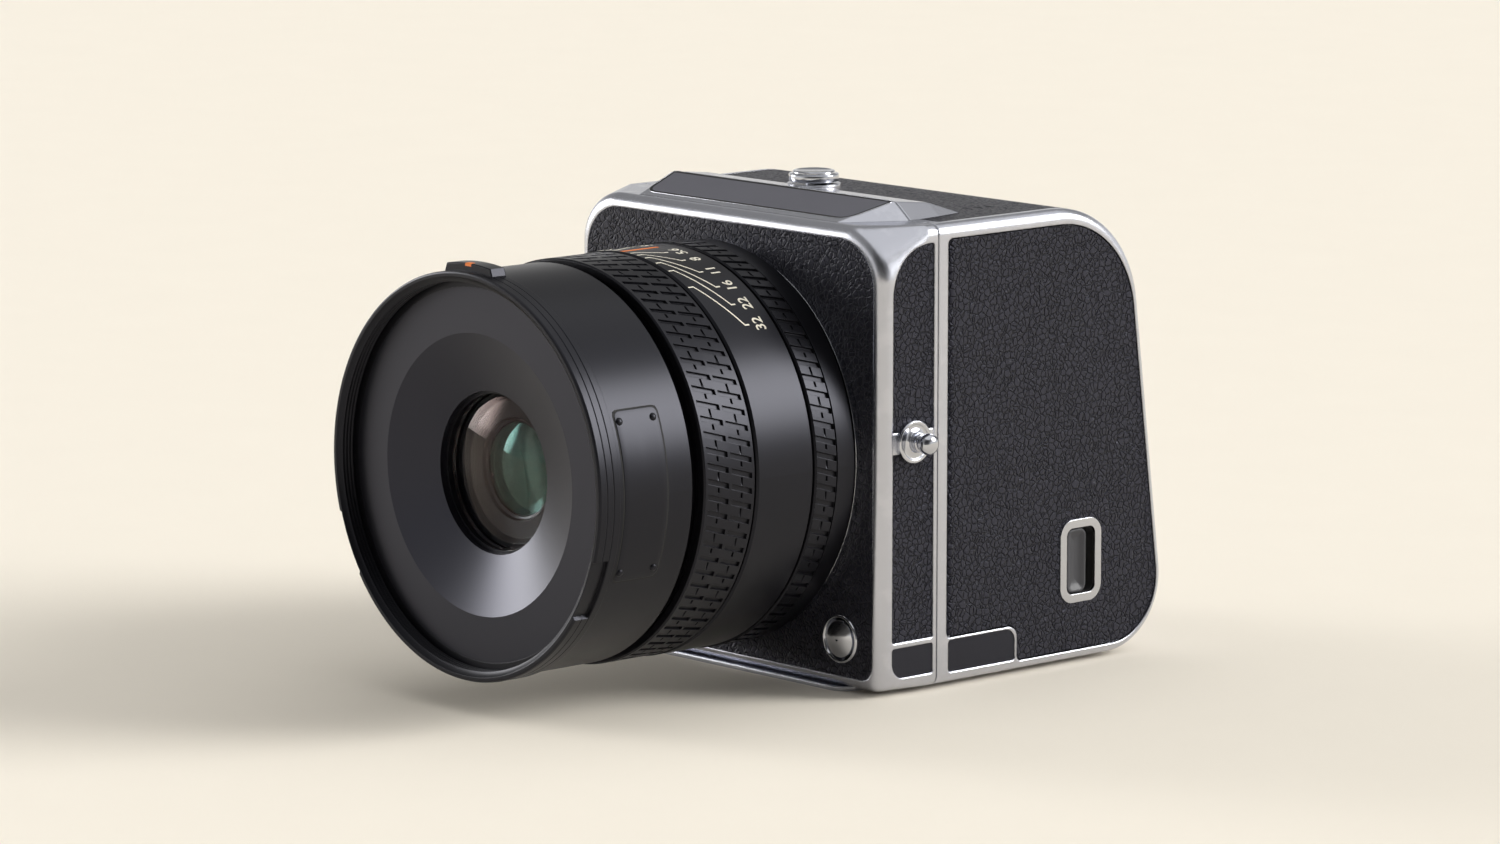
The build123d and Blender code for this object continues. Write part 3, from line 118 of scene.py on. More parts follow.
def end(material, root, sockets, relief=None, depth=0.0, edge=0.0):
    """Closes a material with its Principled shader. A relief goes from 0 to 1, times depth,
    and edges are shaded as if they were rounded by the radius edge."""
    under = {}
    if edge:
        rounding = root.node("Bevel", {"samples": 6}, {"Radius": edge}, "Normal")
        under["Normal"] = sockets["Normal"] = rounding
    if relief is not None:
        bump = {"Height": relief, "Distance": depth, **under}
        sockets["Normal"] = root.node("Bump", {}, bump, "Normal")
    shader = root.node("BsdfPrincipled", {}, sockets)
    root.node("OutputMaterial", {}, {"Surface": shader})


def noise(root, place, scale, detail=2.0):
    return root.node("TexNoise", {}, {"Vector": place, "Scale": scale, "Detail": detail}, "Fac")


def dress(material, *names):
    """Gives CAD nodes their finish."""
    for name in names:
        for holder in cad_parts[name].material_slots:
            holder.material = material


satin_chrome, root, place = begin("satin_chrome")
cloud = noise(root, place, 60.0, 3.0)
bloom = noise(root, place, 2600.0, 1.0)
worn = noise(root, place, 260.0, 4.0).between(0.52, 0.68)
end(satin_chrome, root, {
    "Base Color": (cloud * 0.6 + worn * 0.4).blend(paint(192, 194, 203), paint(206, 208, 217)),
    "Metallic": 1.0,
    "Roughness": 0.24 + cloud * 0.04 - worn * 0.03,
}, bloom, 0.001 * MM, 0.55 * MM)
dress(satin_chrome, "front_housing", "back_housing", "base_plate")


# Leather. Black leatherette with a tight pebbled grain, cut to shape and glued down inside
# the bright frames: over the front, both sides, the doors and the top of the back.

grain_wander = 1.1 * MM
cool_sheen = paint(226, 228, 255)
leather, root, place = begin("leather")
wander = noise(root, place, 620.0, 3.0)
elsewhere = place.node("Mapping", {}, {"Vector": place, "Location": (0.4, 0.2, 0.7)})
wander_across = noise(root, elsewhere, 620.0, 3.0)
shift = root.node("CombineXYZ", {}, {"X": wander, "Y": wander_across, "Z": wander})
shifted = root.node("VectorMath", {"operation": "MULTIPLY_ADD"},
                    {0: shift, 1: (grain_wander, grain_wander, grain_wander), 2: place})
crease = root.node("TexVoronoi", {"feature": "DISTANCE_TO_EDGE"},
                   {"Vector": shifted, "Scale": 840.0}, "Distance")
pebble_and_crease_shade = crease.between(0.0, 0.16)
fine = noise(root, place, 2400.0, 3.0)
patch = noise(root, place, 70.0, 3.0)
end(leather, root, {
    # Painted shade: the colour goes near black in the creases between the pebbles, where shade falls.
    "Base Color": (pebble_and_crease_shade * 0.6 + patch * 0.25 + fine * 0.15).blend(paint(4, 4, 6), paint(36, 36, 44)),
    "Roughness": 0.46 - pebble_and_crease_shade * 0.1 + patch * 0.06,
    "Specular IOR Level": 0.36,
    "Specular Tint": cool_sheen,
}, pebble_and_crease_shade * 0.93 + fine * 0.07, 0.5 * MM, 0.2 * MM)
dress(leather, "front_leather", "front_side_leather", "top_leather", "back_side_leather", "door_leather",
      "port_door")


# Bare plates. Gloss black plates low on the sides, and a dark grey anodised plate let into
# the slope of the raised top. They carry nothing.

gloss_black, root, place = begin("gloss_black")
smudge = noise(root, place, 90.0, 4.0)
end(gloss_black, root, {
    "Base Color": smudge.blend(paint(16, 16, 19), paint(24, 24, 28)),
    "Roughness": 0.34 + smudge * 0.1,
    "Specular IOR Level": 0.36,
    "Specular Tint": cool_sheen,
}, noise(root, place, 3600.0), 0.012 * MM)
dress(gloss_black, "front_badge_plate", "back_badge_plate")

plate_grey, root, place = begin("plate_grey")
blast = noise(root, place, 4200.0, 2.0)
patch = noise(root, place, 60.0, 3.0)
end(plate_grey, root, {
    "Base Color": patch.blend(paint(108, 108, 118), paint(122, 122, 132)),
    "Metallic": 0.7,
    "Roughness": 0.38 + blast * 0.1,
}, blast, 0.004 * MM)
dress(plate_grey, "top_plate")


# Bright turned parts: the lens release, the shutter button in its wheel, the rim of the latch
# and both halves of the lens mount. Turned steel or brass, polished and chromed, as are the
# strap lugs and the release on top further down.

polished_chrome, root, place = begin("polished_chrome")
haze = noise(root, place, 130.0, 4.0)
drawn_out = place.node("Mapping", {}, {"Vector": place, "Scale": (1.0, 14.0, 1.0)})
scratch = noise(root, drawn_out, 500.0, 3.0)
end(polished_chrome, root, {
    "Base Color": haze.blend(paint(188, 190, 197), paint(208, 210, 217)),
    "Metallic": 1.0,
    "Roughness": 0.08 + haze * 0.07 + scratch * 0.03,
}, scratch, 0.001 * MM, 0.2 * MM)
dress(polished_chrome, "lens_release_button", "control_wheel", "shutter_button", "latch_bezel",
      "mount_ring", "lens_flange")


# Plain steel: screws, pins, the tripod socket and the sockets behind the small door. The thin
# blades inside the lens are darkened.

plain_steel, root, place = begin("plain_steel")
drawn_out = place.node("Mapping", {}, {"Vector": place, "Scale": (1.0, 1.0, 22.0)})
brush = noise(root, drawn_out, 300.0, 3.0)
end(plain_steel, root, {
    "Base Color": brush.blend(paint(150, 151, 153), paint(186, 187, 189)),
    "Metallic": 1.0,
    "Roughness": 0.28 + brush * 0.14,
}, brush, 0.002 * MM)
dress(plain_steel, "mount_screws", "tripod_socket", "hinge_pins", "port_sockets")

blade_steel, root, place = begin("blade_steel")
brush = noise(root, place, 700.0, 3.0)
end(blade_steel, root, {
    "Base Color": brush.blend(paint(34, 34, 36), paint(58, 58, 60)),
    "Metallic": 0.8,
    "Roughness": 0.4 + brush * 0.15,
}, brush, 0.003 * MM)
dress(blade_steel, "shutter_blades")


# Moulded parts and boards: the contact block of the mount, the battery, the block of sockets,
# the rubber foot, the buttons under the screen, the memory cards and the two circuit boards.

def moulded(name, dark, light, roughness, grain, depth):
    """Moulded plastic or rubber: cloudy colour, and an even grain of the given size."""
    material, root, place = begin(name)
    patch = noise(root, place, 80.0, 4.0)
    specks = noise(root, place, grain, 2.0)
    end(material, root, {
        "Base Color": (patch * 0.7 + specks * 0.3).blend(dark, light),
        "Roughness": roughness + specks * 0.1,
    }, specks, depth)
    return material


dress(moulded("black_plastic", paint(22, 22, 24), paint(38, 38, 40), 0.42, 2400.0, 0.01 * MM),
      "body_contacts", "battery", "port_block")
dress(moulded("foot_rubber", paint(24, 24, 25), paint(38, 38, 39), 0.7, 1600.0, 0.03 * MM), "foot_plate")
dress(moulded("button_grey", paint(52, 52, 55), paint(66, 66, 69), 0.45, 2600.0, 0.008 * MM),
      *[f"rear_button_{number}" for number in range(1, 6)])
dress(moulded("card_blue", paint(26, 38, 84), paint(36, 50, 104), 0.4, 2000.0, 0.006 * MM),
      "memory_cards")
dress(moulded("board_green", paint(14, 62, 34), paint(24, 82, 46), 0.35, 900.0, 0.02 * MM),
      "sensor_board", "main_board")


# Painted plates of the back: the door carrier, the frame round the sensor, the plate round
# the screen and the screen's own frame. Pressed aluminium, painted satin black.

satin_black, root, place = begin("satin_black")
specks = noise(root, place, 2800.0, 2.0)
patch = noise(root, place, 50.0, 3.0)
end(satin_black, root, {
    "Base Color": patch.blend(paint(25, 25, 27), paint(36, 36, 38)),
    "Roughness": 0.44 + specks * 0.12,
}, specks, 0.008 * MM)
dress(satin_black, "battery_door", "sensor_plate", "rear_plate", "screen_frame")


# Screen and sensor: black bonded glass, a clear filter, and the chip with its coloured sheen,
# which shows through the filter.

screen_black, root, place = begin("screen_black")
smudge = noise(root, place, 45.0, 5.0).between(0.45, 0.75)
end(screen_black, root, {
    "Base Color": smudge.blend(paint(8, 8, 10), paint(16, 16, 19)),
    "Roughness": 0.04 + smudge * 0.1,
    "Coat Weight": 0.6,
    "Coat Roughness": 0.02,
})
dress(screen_black, "screen_glass")

filter_clear, root, place = begin("filter_clear")
smudge = noise(root, place, 60.0, 3.0)
end(filter_clear, root, {
    "Base Color": smudge.blend(paint(196, 226, 222), paint(214, 236, 232)),
    "Roughness": 0.02 + smudge * 0.02,
    "Alpha": 0.28,
})
dress(filter_clear, "filter_glass")

chip_sheen, root, place = begin("chip_sheen")
lines = root.node("TexWave", {"bands_direction": "X"},
                  {"Vector": place, "Scale": 60.0, "Distortion": 2.0}, "Fac")
end(chip_sheen, root, {
    "Base Color": lines.blend(paint(30, 62, 58), paint(64, 44, 82)),
    "Metallic": 0.6,
    "Roughness": 0.16 + lines * 0.1,
}, lines, 0.001 * MM)
dress(chip_sheen, "sensor")


# Barrel of the lens. Turned aluminium tubes, bead blasted and anodised satin black. The wide
# cone inside the mouth is a shade greyer.

lens_black, root, place = begin("lens_black")
blast = noise(root, place, 5200.0, 2.0)
patch = noise(root, place, 45.0, 3.0)
end(lens_black, root, {
    "Base Color": patch.blend(paint(14, 14, 17), paint(19, 19, 23)),
    "Roughness": 0.29 + blast * 0.06,
    "Specular IOR Level": 0.26,
    "Specular Tint": paint(234, 236, 255),
}, blast, 0.003 * MM, 0.12 * MM)
dress(lens_black, "lens_barrel", "scale_barrel", "front_barrel", "focus_sleeve", "lens_cells",
      "shutter_unit")

name_ring_grey, root, place = begin("name_ring_grey")
blast = noise(root, place, 5200.0, 2.0)
patch = noise(root, place, 45.0, 3.0)
end(name_ring_grey, root, {
    "Base Color": patch.blend(paint(17, 17, 21), paint(22, 22, 27)),
    "Roughness": 0.29 + blast * 0.06,
    "Specular IOR Level": 0.45,
    "Specular Tint": cool_sheen,
}, blast, 0.004 * MM)
dress(name_ring_grey, "name_ring")


# Grips of the two rings. Each is milled with slanted pockets, and between them short cross
# cuts that end at the next pocket or before it in turn. The focus ring has two rows.

leather_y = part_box("front_leather")[0][1]
axis_z = (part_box("focus_ring")[0][2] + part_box("focus_ring")[1][2]) / 2


def reach(distance_mm):
    """Y of a place that lies this many millimetres in front of the front leather."""
    return leather_y - distance_mm * MM


def solid(name, grids, angle_deg=30.0, close_rows=True, close_columns=True):
    """Solid over arrays of rows and columns of points: neighbours join in quads, and the last
    row or column joins the first where it is closed. Rows that meet at a pole are welded, open
    ends are filled, faces turn outwards, and edges under the angle are shaded smooth."""
    points, faces, count = [], [], 0
    for grid in grids:
        rows, columns = grid.shape[:2]
        index = np.arange(rows * columns).reshape(rows, columns)
        row_ends = rows if close_rows else rows - 1
        column_ends = columns if close_columns else columns - 1
        below = np.roll(index, -1, 0)
        corners = [index, below, np.roll(below, -1, 1), np.roll(index, -1, 1)]
        quads = np.stack([corner[:row_ends, :column_ends] for corner in corners], axis=-1)
        points.append(grid.reshape(-1, 3))
        faces.append(quads.reshape(-1, 4) + count)
        count += rows * columns
    mesh = bpy.data.meshes.new(name)
    mesh.from_pydata(np.concatenate(points).tolist(), [], np.concatenate(faces).tolist())
    work = bmesh.new()
    work.from_mesh(mesh)
    bmesh.ops.remove_doubles(work, verts=work.verts, dist=1e-7)
    bmesh.ops.holes_fill(work, edges=[edge for edge in work.edges if edge.is_boundary])
    bmesh.ops.recalc_face_normals(work, faces=work.faces)
    work.to_mesh(mesh)
    work.free()
    mesh.shade_smooth()
    mesh.set_sharp_from_angle(angle=radians(angle_deg))
    piece = bpy.data.objects.new(name, mesh)
    bpy.context.scene.collection.objects.link(piece)
    return piece


def place_piece(piece, material, body, slot, *nodes):
    """Gives a piece its finish and its body, and the nodes it stands for. The slot is not used."""
    piece.data.materials.clear()
    piece.data.materials.append(material)
    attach(piece, body)
    if nodes:
        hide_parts(*nodes)


def around(angles, ys, radii):
    """Points about the lens axis: x = r cos a, z = axis + r sin a, at each y."""
    return np.stack([radii * np.cos(angles), ys + 0 * angles, axis_z + radii * np.sin(angles)], axis=-1)


def step(values, low, high, soft):
    """1 between low and high and 0 outside, with straight ramps as wide as soft."""
    rise = np.clip((values - low) / soft + 0.5, 0, 1)
    fall = np.clip((high - values) / soft + 0.5, 0, 1)
    return np.minimum(rise, fall)


grip_pockets = 82
grip_pitch = 2 * pi / grip_pockets
pocket_turn = radians(1.5)
pocket_slant = radians(2.15) / (5.0 * MM)
pocket_depth = 0.45 * MM
cut_start = pocket_turn + radians(0.36)
cut_short_end = pocket_turn + radians(1.75)
cut_width = 0.38 * MM
wall_turn = radians(0.1)
wall_run = 0.08 * MM


def grip_ring(name, outer, inner, rear, front, rows):
    """Ring whose grid follows the slant of its pockets: a = a0 - slant (y - y0). The radius is
    the outer one less the depth of a pocket or cut, each a product of two steps, one along
    the turn within a period of two pockets and one along y within a row."""
    bevel = 0.3 * MM
    period = 2 * grip_pitch
    marks = [0, pocket_turn, cut_start, cut_short_end, grip_pitch, grip_pitch + pocket_turn,
             grip_pitch + cut_start]
    turn_marks = np.array([mark + side * wall_turn / 2 for mark in marks for side in (-1, 1)])
    turns = np.concatenate([turn_marks + number * period for number in range(grip_pockets // 2)])
    run_marks = []
    for row_start, row_end in rows:
        middle = (row_start + row_end) / 2
        run_marks += [row_start, middle + cut_width / 2, middle - cut_width / 2, row_end]
    runs = np.array([mark + side * wall_run / 2 for mark in run_marks for side in (1, -1)])
    turn, run = np.meshgrid(turns, runs, indexing="ij")
    local = np.mod(turn + wall_turn, period) - wall_turn
    depth = np.zeros_like(turn)
    for row_start, row_end in rows:
        middle = (row_start + row_end) / 2
        in_row = step(run, row_end, row_start, wall_run)
        in_cut = step(run, middle - cut_width / 2, middle + cut_width / 2, wall_run)
        pockets = np.maximum(step(local, 0, pocket_turn, wall_turn),
                             step(local, grip_pitch, grip_pitch + pocket_turn, wall_turn))
        cuts = np.maximum(step(local, cut_start, cut_short_end, wall_turn),
                          step(local, grip_pitch + cut_start, period + wall_turn, wall_turn))
        depth = np.maximum(depth, np.maximum(pockets * in_row, cuts * in_cut))
    radii = outer - pocket_depth * depth
    ends = np.array([(rear, inner), (rear, outer - bevel), (rear - bevel, outer)])
    tips = np.array([(front + bevel, outer), (front, outer - bevel), (front, inner)])
    ys = np.concatenate([ends[:, 0], runs, tips[:, 0]])[None, :] + np.zeros((len(turns), 1))
    flat = np.zeros((len(turns), 3))
    all_radii = np.concatenate([ends[:, 1] + flat, radii, tips[:, 1] + flat], axis=1)
    angles = -turns[:, None] - pocket_slant * (ys - (rear + front) / 2)
    return solid(name, [around(angles, ys, all_radii)])


def ring_size(node):
    """Outer radius of a ring about the lens axis, and its y at the rear and at the front."""
    low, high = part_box(node)
    return (high[0] - low[0]) / 2, high[1], low[1]


grip_wall = 1.6 * MM
focus_outer, focus_rear, focus_front = ring_size("focus_ring")
row_run = 5.0 * MM
row_gap = 0.72 * MM
focus_middle = (focus_rear + focus_front) / 2
focus_rows = [(focus_middle + row_gap / 2 + row_run, focus_middle + row_gap / 2),
              (focus_middle - row_gap / 2, focus_middle - row_gap / 2 - row_run)]
focus_grip = grip_ring("focus_grip", focus_outer, focus_outer - grip_wall, focus_rear, focus_front,
                       focus_rows)
place_piece(focus_grip, lens_black, "focus_ring", "lens_black", "focus_ring")

control_outer, control_rear, control_front = ring_size("control_ring")
control_middle = (control_rear + control_front) / 2
control_half = 2.45 * MM
control_row = [(control_middle + control_half, control_middle - control_half)]
control_grip = grip_ring("control_grip", control_outer, control_outer - grip_wall, control_rear,
                         control_front, control_row)
place_piece(control_grip, lens_black, "control_ring", "lens_black", "control_ring")


# Scale on the smooth band: bracket lines and numbers, engraved and filled with cream paint,
# and an orange index at the top. The two sides are alike, and it reads from behind. Names in
# _mm are distances in front of the front leather.

cream_paint, root, place = begin("cream_paint")
grit = noise(root, place, 3000.0, 2.0)
end(cream_paint, root, {"Base Color": grit.blend(paint(226, 220, 202), paint(242, 238, 224)),
                        "Roughness": 0.55 + grit * 0.1}, grit, 0.004 * MM)
orange_paint, root, place = begin("orange_paint")
grit = noise(root, place, 3000.0, 2.0)
end(orange_paint, root, {"Base Color": grit.blend(paint(236, 118, 36), paint(246, 136, 52)),
                         "Roughness": 0.5 + grit * 0.1}, grit, 0.004 * MM)

scale_outer = ring_size("scale_barrel")[0]
ink_rise = 0.03 * MM
line_width = 0.3 * MM
index_width = 0.8 * MM
digits_mm = 15.9
index_rear_mm = 17.6
line_rear_mm = 19.4
first_bend_mm = 20.4
second_bend_mm = 25.4
line_front_mm = 26.6
up = radians(90)


def ribbon(name, corners, width):
    """Flat line along corners (a, y) of the unrolled band, mitred at its corners: each corner
    moves by half the width along the normal of its bisector, over the cosine of half the
    turn. It is then wrapped on the band, just above the metal."""
    path = np.array(corners) * [-scale_outer, 1]
    ways = np.diff(path, axis=0)
    ways /= np.linalg.norm(ways, axis=1, keepdims=True)
    normals = np.stack([-ways[:, 1], ways[:, 0]], axis=1)
    first = np.vstack([normals[:1], normals])
    last = np.vstack([normals, normals[-1:]])
    mitres = (first + last) / (1 + np.sum(first * last, axis=1, keepdims=True))
    sides = np.stack([path + mitres * width / 2, path - mitres * width / 2], axis=1)
    rows = []
    for start, stop in zip(sides[:-1], sides[1:]):
        shares = np.linspace(0, 1, 13)[:-1, None, None]
        rows.append(start + shares * (stop - start))
    flat = np.vstack(rows + [sides[-1:]])
    angles = -flat[..., 0] / scale_outer
    top = around(angles, flat[..., 1], scale_outer + ink_rise)
    under = around(angles, flat[..., 1], scale_outer - ink_rise)
    loops = np.stack([top[:, 0], top[:, 1], under[:, 1], under[:, 0]], axis=1)
    return solid(name, [loops], close_rows=False)


brackets = {"32": (44.4, 60.9), "22": (52.0, 69.9), "16": (59.6, 75.5), "11": (67.3, 80.1),
            "8": (75.1, 83.4), "5.6": (82.6, 86.2)}
engraved = []
for number, (outer_deg, inner_deg) in brackets.items():
    for side in (1, -1):
        outer_turn = up - side * (up - radians(outer_deg))
        inner_turn = up - side * (up - radians(inner_deg))
        corners = [(outer_turn, reach(line_rear_mm)), (outer_turn, reach(first_bend_mm)),
                   (inner_turn, reach(second_bend_mm)), (inner_turn, reach(line_front_mm))]
        name = f"scale_line_{number.replace('.', '_')}_{'right' if side > 0 else 'left'}"
        engraved.append(ribbon(name, corners, line_width))


def wrapped_text(name, words, turn, y, size):
    """Number wrapped on the band, whose flat mesh (u, v) goes to a = turn + u / r, y - v."""
    curve = bpy.data.curves.new(name, "FONT")
    curve.body = words
    curve.size = size
    curve.align_x = "CENTER"
    curve.offset = 0.012 * size
    curve.extrude = ink_rise
    holder = bpy.data.objects.new(name, curve)
    bpy.context.scene.collection.objects.link(holder)
    bpy.context.view_layer.update()
    mesh = bpy.data.meshes.new_from_object(holder.evaluated_get(bpy.context.evaluated_depsgraph_get()))
    flat = np.empty(3 * len(mesh.vertices))
    mesh.vertices.foreach_get("co", flat)
    flat = flat.reshape(-1, 3)
    placed = around(turn + flat[:, 0] / scale_outer, y - flat[:, 1], scale_outer + flat[:, 2])
    mesh.vertices.foreach_set("co", placed.ravel())
    mesh.update()
    bpy.data.objects.remove(holder)
    piece = bpy.data.objects.new(name, mesh)
    bpy.context.scene.collection.objects.link(piece)
    return piece


digit_size = 3.2 * MM
for number, (outer_deg, inner_deg) in brackets.items():
    for side in (1, -1):
        turn = up - side * (up - radians(outer_deg))
        name = f"scale_number_{number.replace('.', '_')}_{'right' if side > 0 else 'left'}"
        engraved.append(wrapped_text(name, number, turn, reach(digits_mm), digit_size))
for piece in engraved:
    place_piece(piece, cream_paint, "lens", "lens_black")
index_ends = [(up, reach(index_rear_mm)), (up, reach(line_front_mm))]
index_line = ribbon("scale_index", index_ends, index_width)
place_piece(index_line, orange_paint, "lens", "lens_black")


# Front rim. A turned ring with the filter thread cut inside its mouth, and on top of it a
# raised lug for the hood with bevelled ends and an orange mark.

thread_ridges = 4
thread_pitch = 0.75 * MM
thread_root = 36.45 * MM
thread_crest = 36.0 * MM
rim_low, rim_high = np.array(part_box("filter_rim"))
rim_outer = (rim_high[0] - rim_low[0]) / 2
rim_front = rim_low[1]
rim_rear = rim_high[1]
thread_end = reach(64.8)
turned_lines_mm = (61.9, 63.5)
line_half_mm = 0.12
line_dip = line_half_mm * MM
profile = [(rim_rear, rim_outer)]
for line in turned_lines_mm:
    profile += [(reach(line - line_half_mm), rim_outer), (reach(line), rim_outer - line_dip),
                (reach(line + line_half_mm), rim_outer)]
profile = sorted(profile, key=lambda corner: -corner[0])
profile += [(rim_front + 0.4 * MM, rim_outer), (rim_front + 0.12 * MM, rim_outer - 0.12 * MM),
            (rim_front, rim_outer - 0.4 * MM), (rim_front, rim_outer - 0.95 * MM),
            (rim_front + 0.15 * MM, rim_outer - 1.1 * MM), (thread_end, thread_root)]
for ridge in range(thread_ridges):
    y = thread_end + ridge * thread_pitch
    profile += [(y + 0.3 * thread_pitch, thread_crest), (y + 0.45 * thread_pitch, thread_crest),
                (y + 0.85 * thread_pitch, thread_root)]
profile += [(rim_rear, thread_crest)]
corners = np.array(profile)
slot_middles = (radians(-26.4), radians(-153.6))
slot_half = radians(9.35)
slot_soft = radians(0.5)
slot_floor = rim_outer - 0.7 * MM
slot_rear = reach(62.0)
slot_marks = [middle + side * slot_half + nudge * slot_soft / 2
              for middle in slot_middles for side in (-1, 1) for nudge in (-1, 1)]
turns = np.sort(np.concatenate([np.linspace(-pi, pi, 256, endpoint=False), slot_marks]))[:, None]
in_slot = sum(step(turns, middle - slot_half, middle + slot_half, slot_soft) for middle in slot_middles)
rim_ys, rim_radii = corners[None, :, 0], corners[None, :, 1]
ahead_of_slot = (rim_ys < slot_rear) & (rim_radii > slot_floor)
radii = np.where(ahead_of_slot, rim_radii + (slot_floor - rim_radii) * in_slot, rim_radii)
filter_mouth = solid("filter_mouth", [around(turns, rim_ys + 0 * turns, radii)], 20.0)
place_piece(filter_mouth, lens_black, "lens", "lens_black", "filter_rim")

tab_top = rim_high[2] - axis_z
tab_half_turn = radians(10.0)
tab_bevel_turn = radians(1.1)
tab_front = reach(63.9)
tab_rear = reach(60.4)


def hood_tab_points():
    """Rows across the lug, each a loop of its section. The top falls to the barrel over the
    end bevels: r = top - share of the rise, where share grows from the bevel to the end."""
    turns = np.concatenate([[-tab_half_turn], np.linspace(-tab_half_turn + tab_bevel_turn,
                            tab_half_turn - tab_bevel_turn, 13), [tab_half_turn]])
    base = rim_outer - 0.6 * MM
    top = np.where(np.abs(turns) > tab_half_turn - tab_bevel_turn / 2, tab_top - 1.3 * MM, tab_top)
    edge = 0.2 * MM
    rows = []
    for turn, height in zip(turns, top):
        section = np.array([(tab_rear, base), (tab_rear, height - edge), (tab_rear - edge, height),
                            (tab_front + edge, height), (tab_front, height - edge), (tab_front, base)])
        rows.append(around(np.full(len(section), up - turn), section[:, 0], section[:, 1]))
    return np.array(rows)


hood_tab = solid("hood_tab", [hood_tab_points()], 25.0, close_rows=False)
place_piece(hood_tab, lens_black, "lens", "lens_black")

mark_half = 0.85 * MM / tab_top
mark_turns = np.linspace(up - mark_half, up + mark_half, 5)[:, None]
mark_profile = np.array([(-0.02, -0.55), (-0.02, -0.16), (0.18, 0.02), (1.1, 0.02), (1.1, -0.06),
                         (0.1, -0.5)])
mark_section = np.array([tab_front, tab_top]) + mark_profile * MM
mark_points = around(mark_turns, mark_section[None, :, 0], mark_section[None, :, 1] + 0 * mark_turns)
hood_mark = solid("hood_mark", [mark_points], close_rows=False)
place_piece(hood_mark, orange_paint, "lens", "lens_black")


# Plate on the side of the barrel. Thin black aluminium in a shallow bed, with a dome-headed
# rivet at each corner. The shade in the groove round its edge is painted as a fine black line.

def outline(half_wide, half_high, radius, inset=0.0, steps=6):
    """Corners of a rounded rectangle, moved in by inset, as rows of (u, v)."""
    round_off = max(radius - inset, 0.02 * MM)
    quarter = np.linspace(0, pi / 2, steps)
    points = []
    for turn, (side_u, side_v) in enumerate([(1, 1), (-1, 1), (-1, -1), (1, -1)]):
        angles = quarter + turn * pi / 2
        u = side_u * (half_wide - inset - round_off) + round_off * np.cos(angles)
        v = side_v * (half_high - inset - round_off) + round_off * np.sin(angles)
        points.append(np.stack([u, v], axis=1))
    return np.concatenate(points)


def divided(loop, most):
    """The same closed loop with its long runs divided, so that it can be wrapped on a barrel."""
    rows = []
    for start, stop in zip(loop, np.roll(loop, -1, axis=0)):
        parts = max(1, int(np.ceil(np.linalg.norm(stop - start) / most)))
        rows.append(start + np.linspace(0, 1, parts, endpoint=False)[:, None] * (stop - start))
    return np.concatenate(rows)


barrel_outer = ring_size("front_barrel")[0]
plate_rear_mm, plate_front_mm = 48.7, 59.0
plate_middle = reach((plate_rear_mm + plate_front_mm) / 2)
plate_half_deg = 24.6
plate_half_arc = barrel_outer * radians(plate_half_deg)
plate_half_run = 5.15 * MM
plate_round = 1.3 * MM
plate_rise = 0.12 * MM
plate_base = divided(outline(plate_half_arc, plate_half_run, plate_round), 0.8 * MM)


def wrapped_loop(inset, rise):
    """The plate's outline moved in by inset along both axes, wrapped on the barrel, raised."""
    shrink = np.array([1 - inset / plate_half_arc, 1 - inset / plate_half_run])
    loop = plate_base * shrink
    return around(loop[:, 0] / barrel_outer, plate_middle + loop[:, 1], barrel_outer + rise)


plate_loops = [wrapped_loop(0, -0.2 * MM), wrapped_loop(0, 0.02 * MM),
               wrapped_loop(0.05 * MM, 0.09 * MM), wrapped_loop(0.2 * MM, plate_rise)]
plate_loops += [wrapped_loop(share * plate_half_run, plate_rise) for share in (0.25, 0.5, 0.75, 1.0)]
barrel_label = solid("barrel_label", [np.array(plate_loops)], close_rows=False)
place_piece(barrel_label, lens_black, "lens", "lens_black", "barrel_plate")

# Painted shadow: a near black ribbon round the plate, where the groove of its bed lies in shade.
gap_loops = [wrapped_loop(0.02 * MM, -0.1 * MM), wrapped_loop(0.02 * MM, 0.03 * MM),
             wrapped_loop(-0.3 * MM, 0.02 * MM), wrapped_loop(-0.3 * MM, -0.1 * MM)]
shadow_black = moulded("shadow_black", paint(4, 4, 5), paint(9, 9, 10), 0.7, 1800.0, 0.004 * MM)
label_groove_shadow = solid("label_groove_shadow", [np.array(gap_loops)])
place_piece(label_groove_shadow, shadow_black, "lens", "lens_black")


def lathe(profile, middle, side, across, along, count=48):
    """Points of a turned form: middle + r (cos a side + sin a across) + run along, with each
    corner of the profile given as (r, run)."""
    angles = np.linspace(0, 2 * pi, count, endpoint=False)[:, None, None]
    radii, runs = np.array(profile).T[:, None, :, None]
    side, across, along = (np.array(way, float) for way in (side, across, along))
    return np.array(middle) + radii * (np.cos(angles) * side + np.sin(angles) * across) + runs * along


rivet = [(0.0, 0.46), (0.25, 0.44), (0.48, 0.36), (0.64, 0.24), (0.72, 0.1), (0.74, 0.0), (0.74, -0.3),
         (0.0, -0.3)]
rivet_turns_deg = (-21.6, 21.6)
rivet_runs_mm = (50.0, 58.1)
rivets = []
for turn_deg in rivet_turns_deg:
    for run_mm in rivet_runs_mm:
        turn = radians(turn_deg)
        outwards = (cos(turn), 0.0, sin(turn))
        foot = around(np.array(turn), reach(run_mm), barrel_outer + 0.1 * MM)
        sideways = (-sin(turn), 0.0, cos(turn))
        rivets.append(lathe(np.array(rivet) * MM, foot, sideways, (0.0, 1.0, 0.0), outwards, 24))
rivet_heads = solid("rivet_heads", rivets, close_columns=False)
place_piece(rivet_heads, lens_black, "lens", "lens_black", "barrel_rivets")


# Trim round the plate on the raised top. The plate lies in a shallow seat; the shade in the gap
# round it is painted as a flat black ring, and the lip of the seat outside the gap is cut bright
# with a narrow chamfer.

slope_y = leather_y + 2.6 * MM
slope_z = 88.29 * MM
slope_rise = 3.21 / 11.6
seat_radii = (3.0 * MM, 3.0 * MM, 0.3 * MM, 0.3 * MM)
seat_corners = np.array([(-27.67, 2.179), (27.67, 2.179), (30.114, 11.517), (-30.114, 11.517)]) * MM


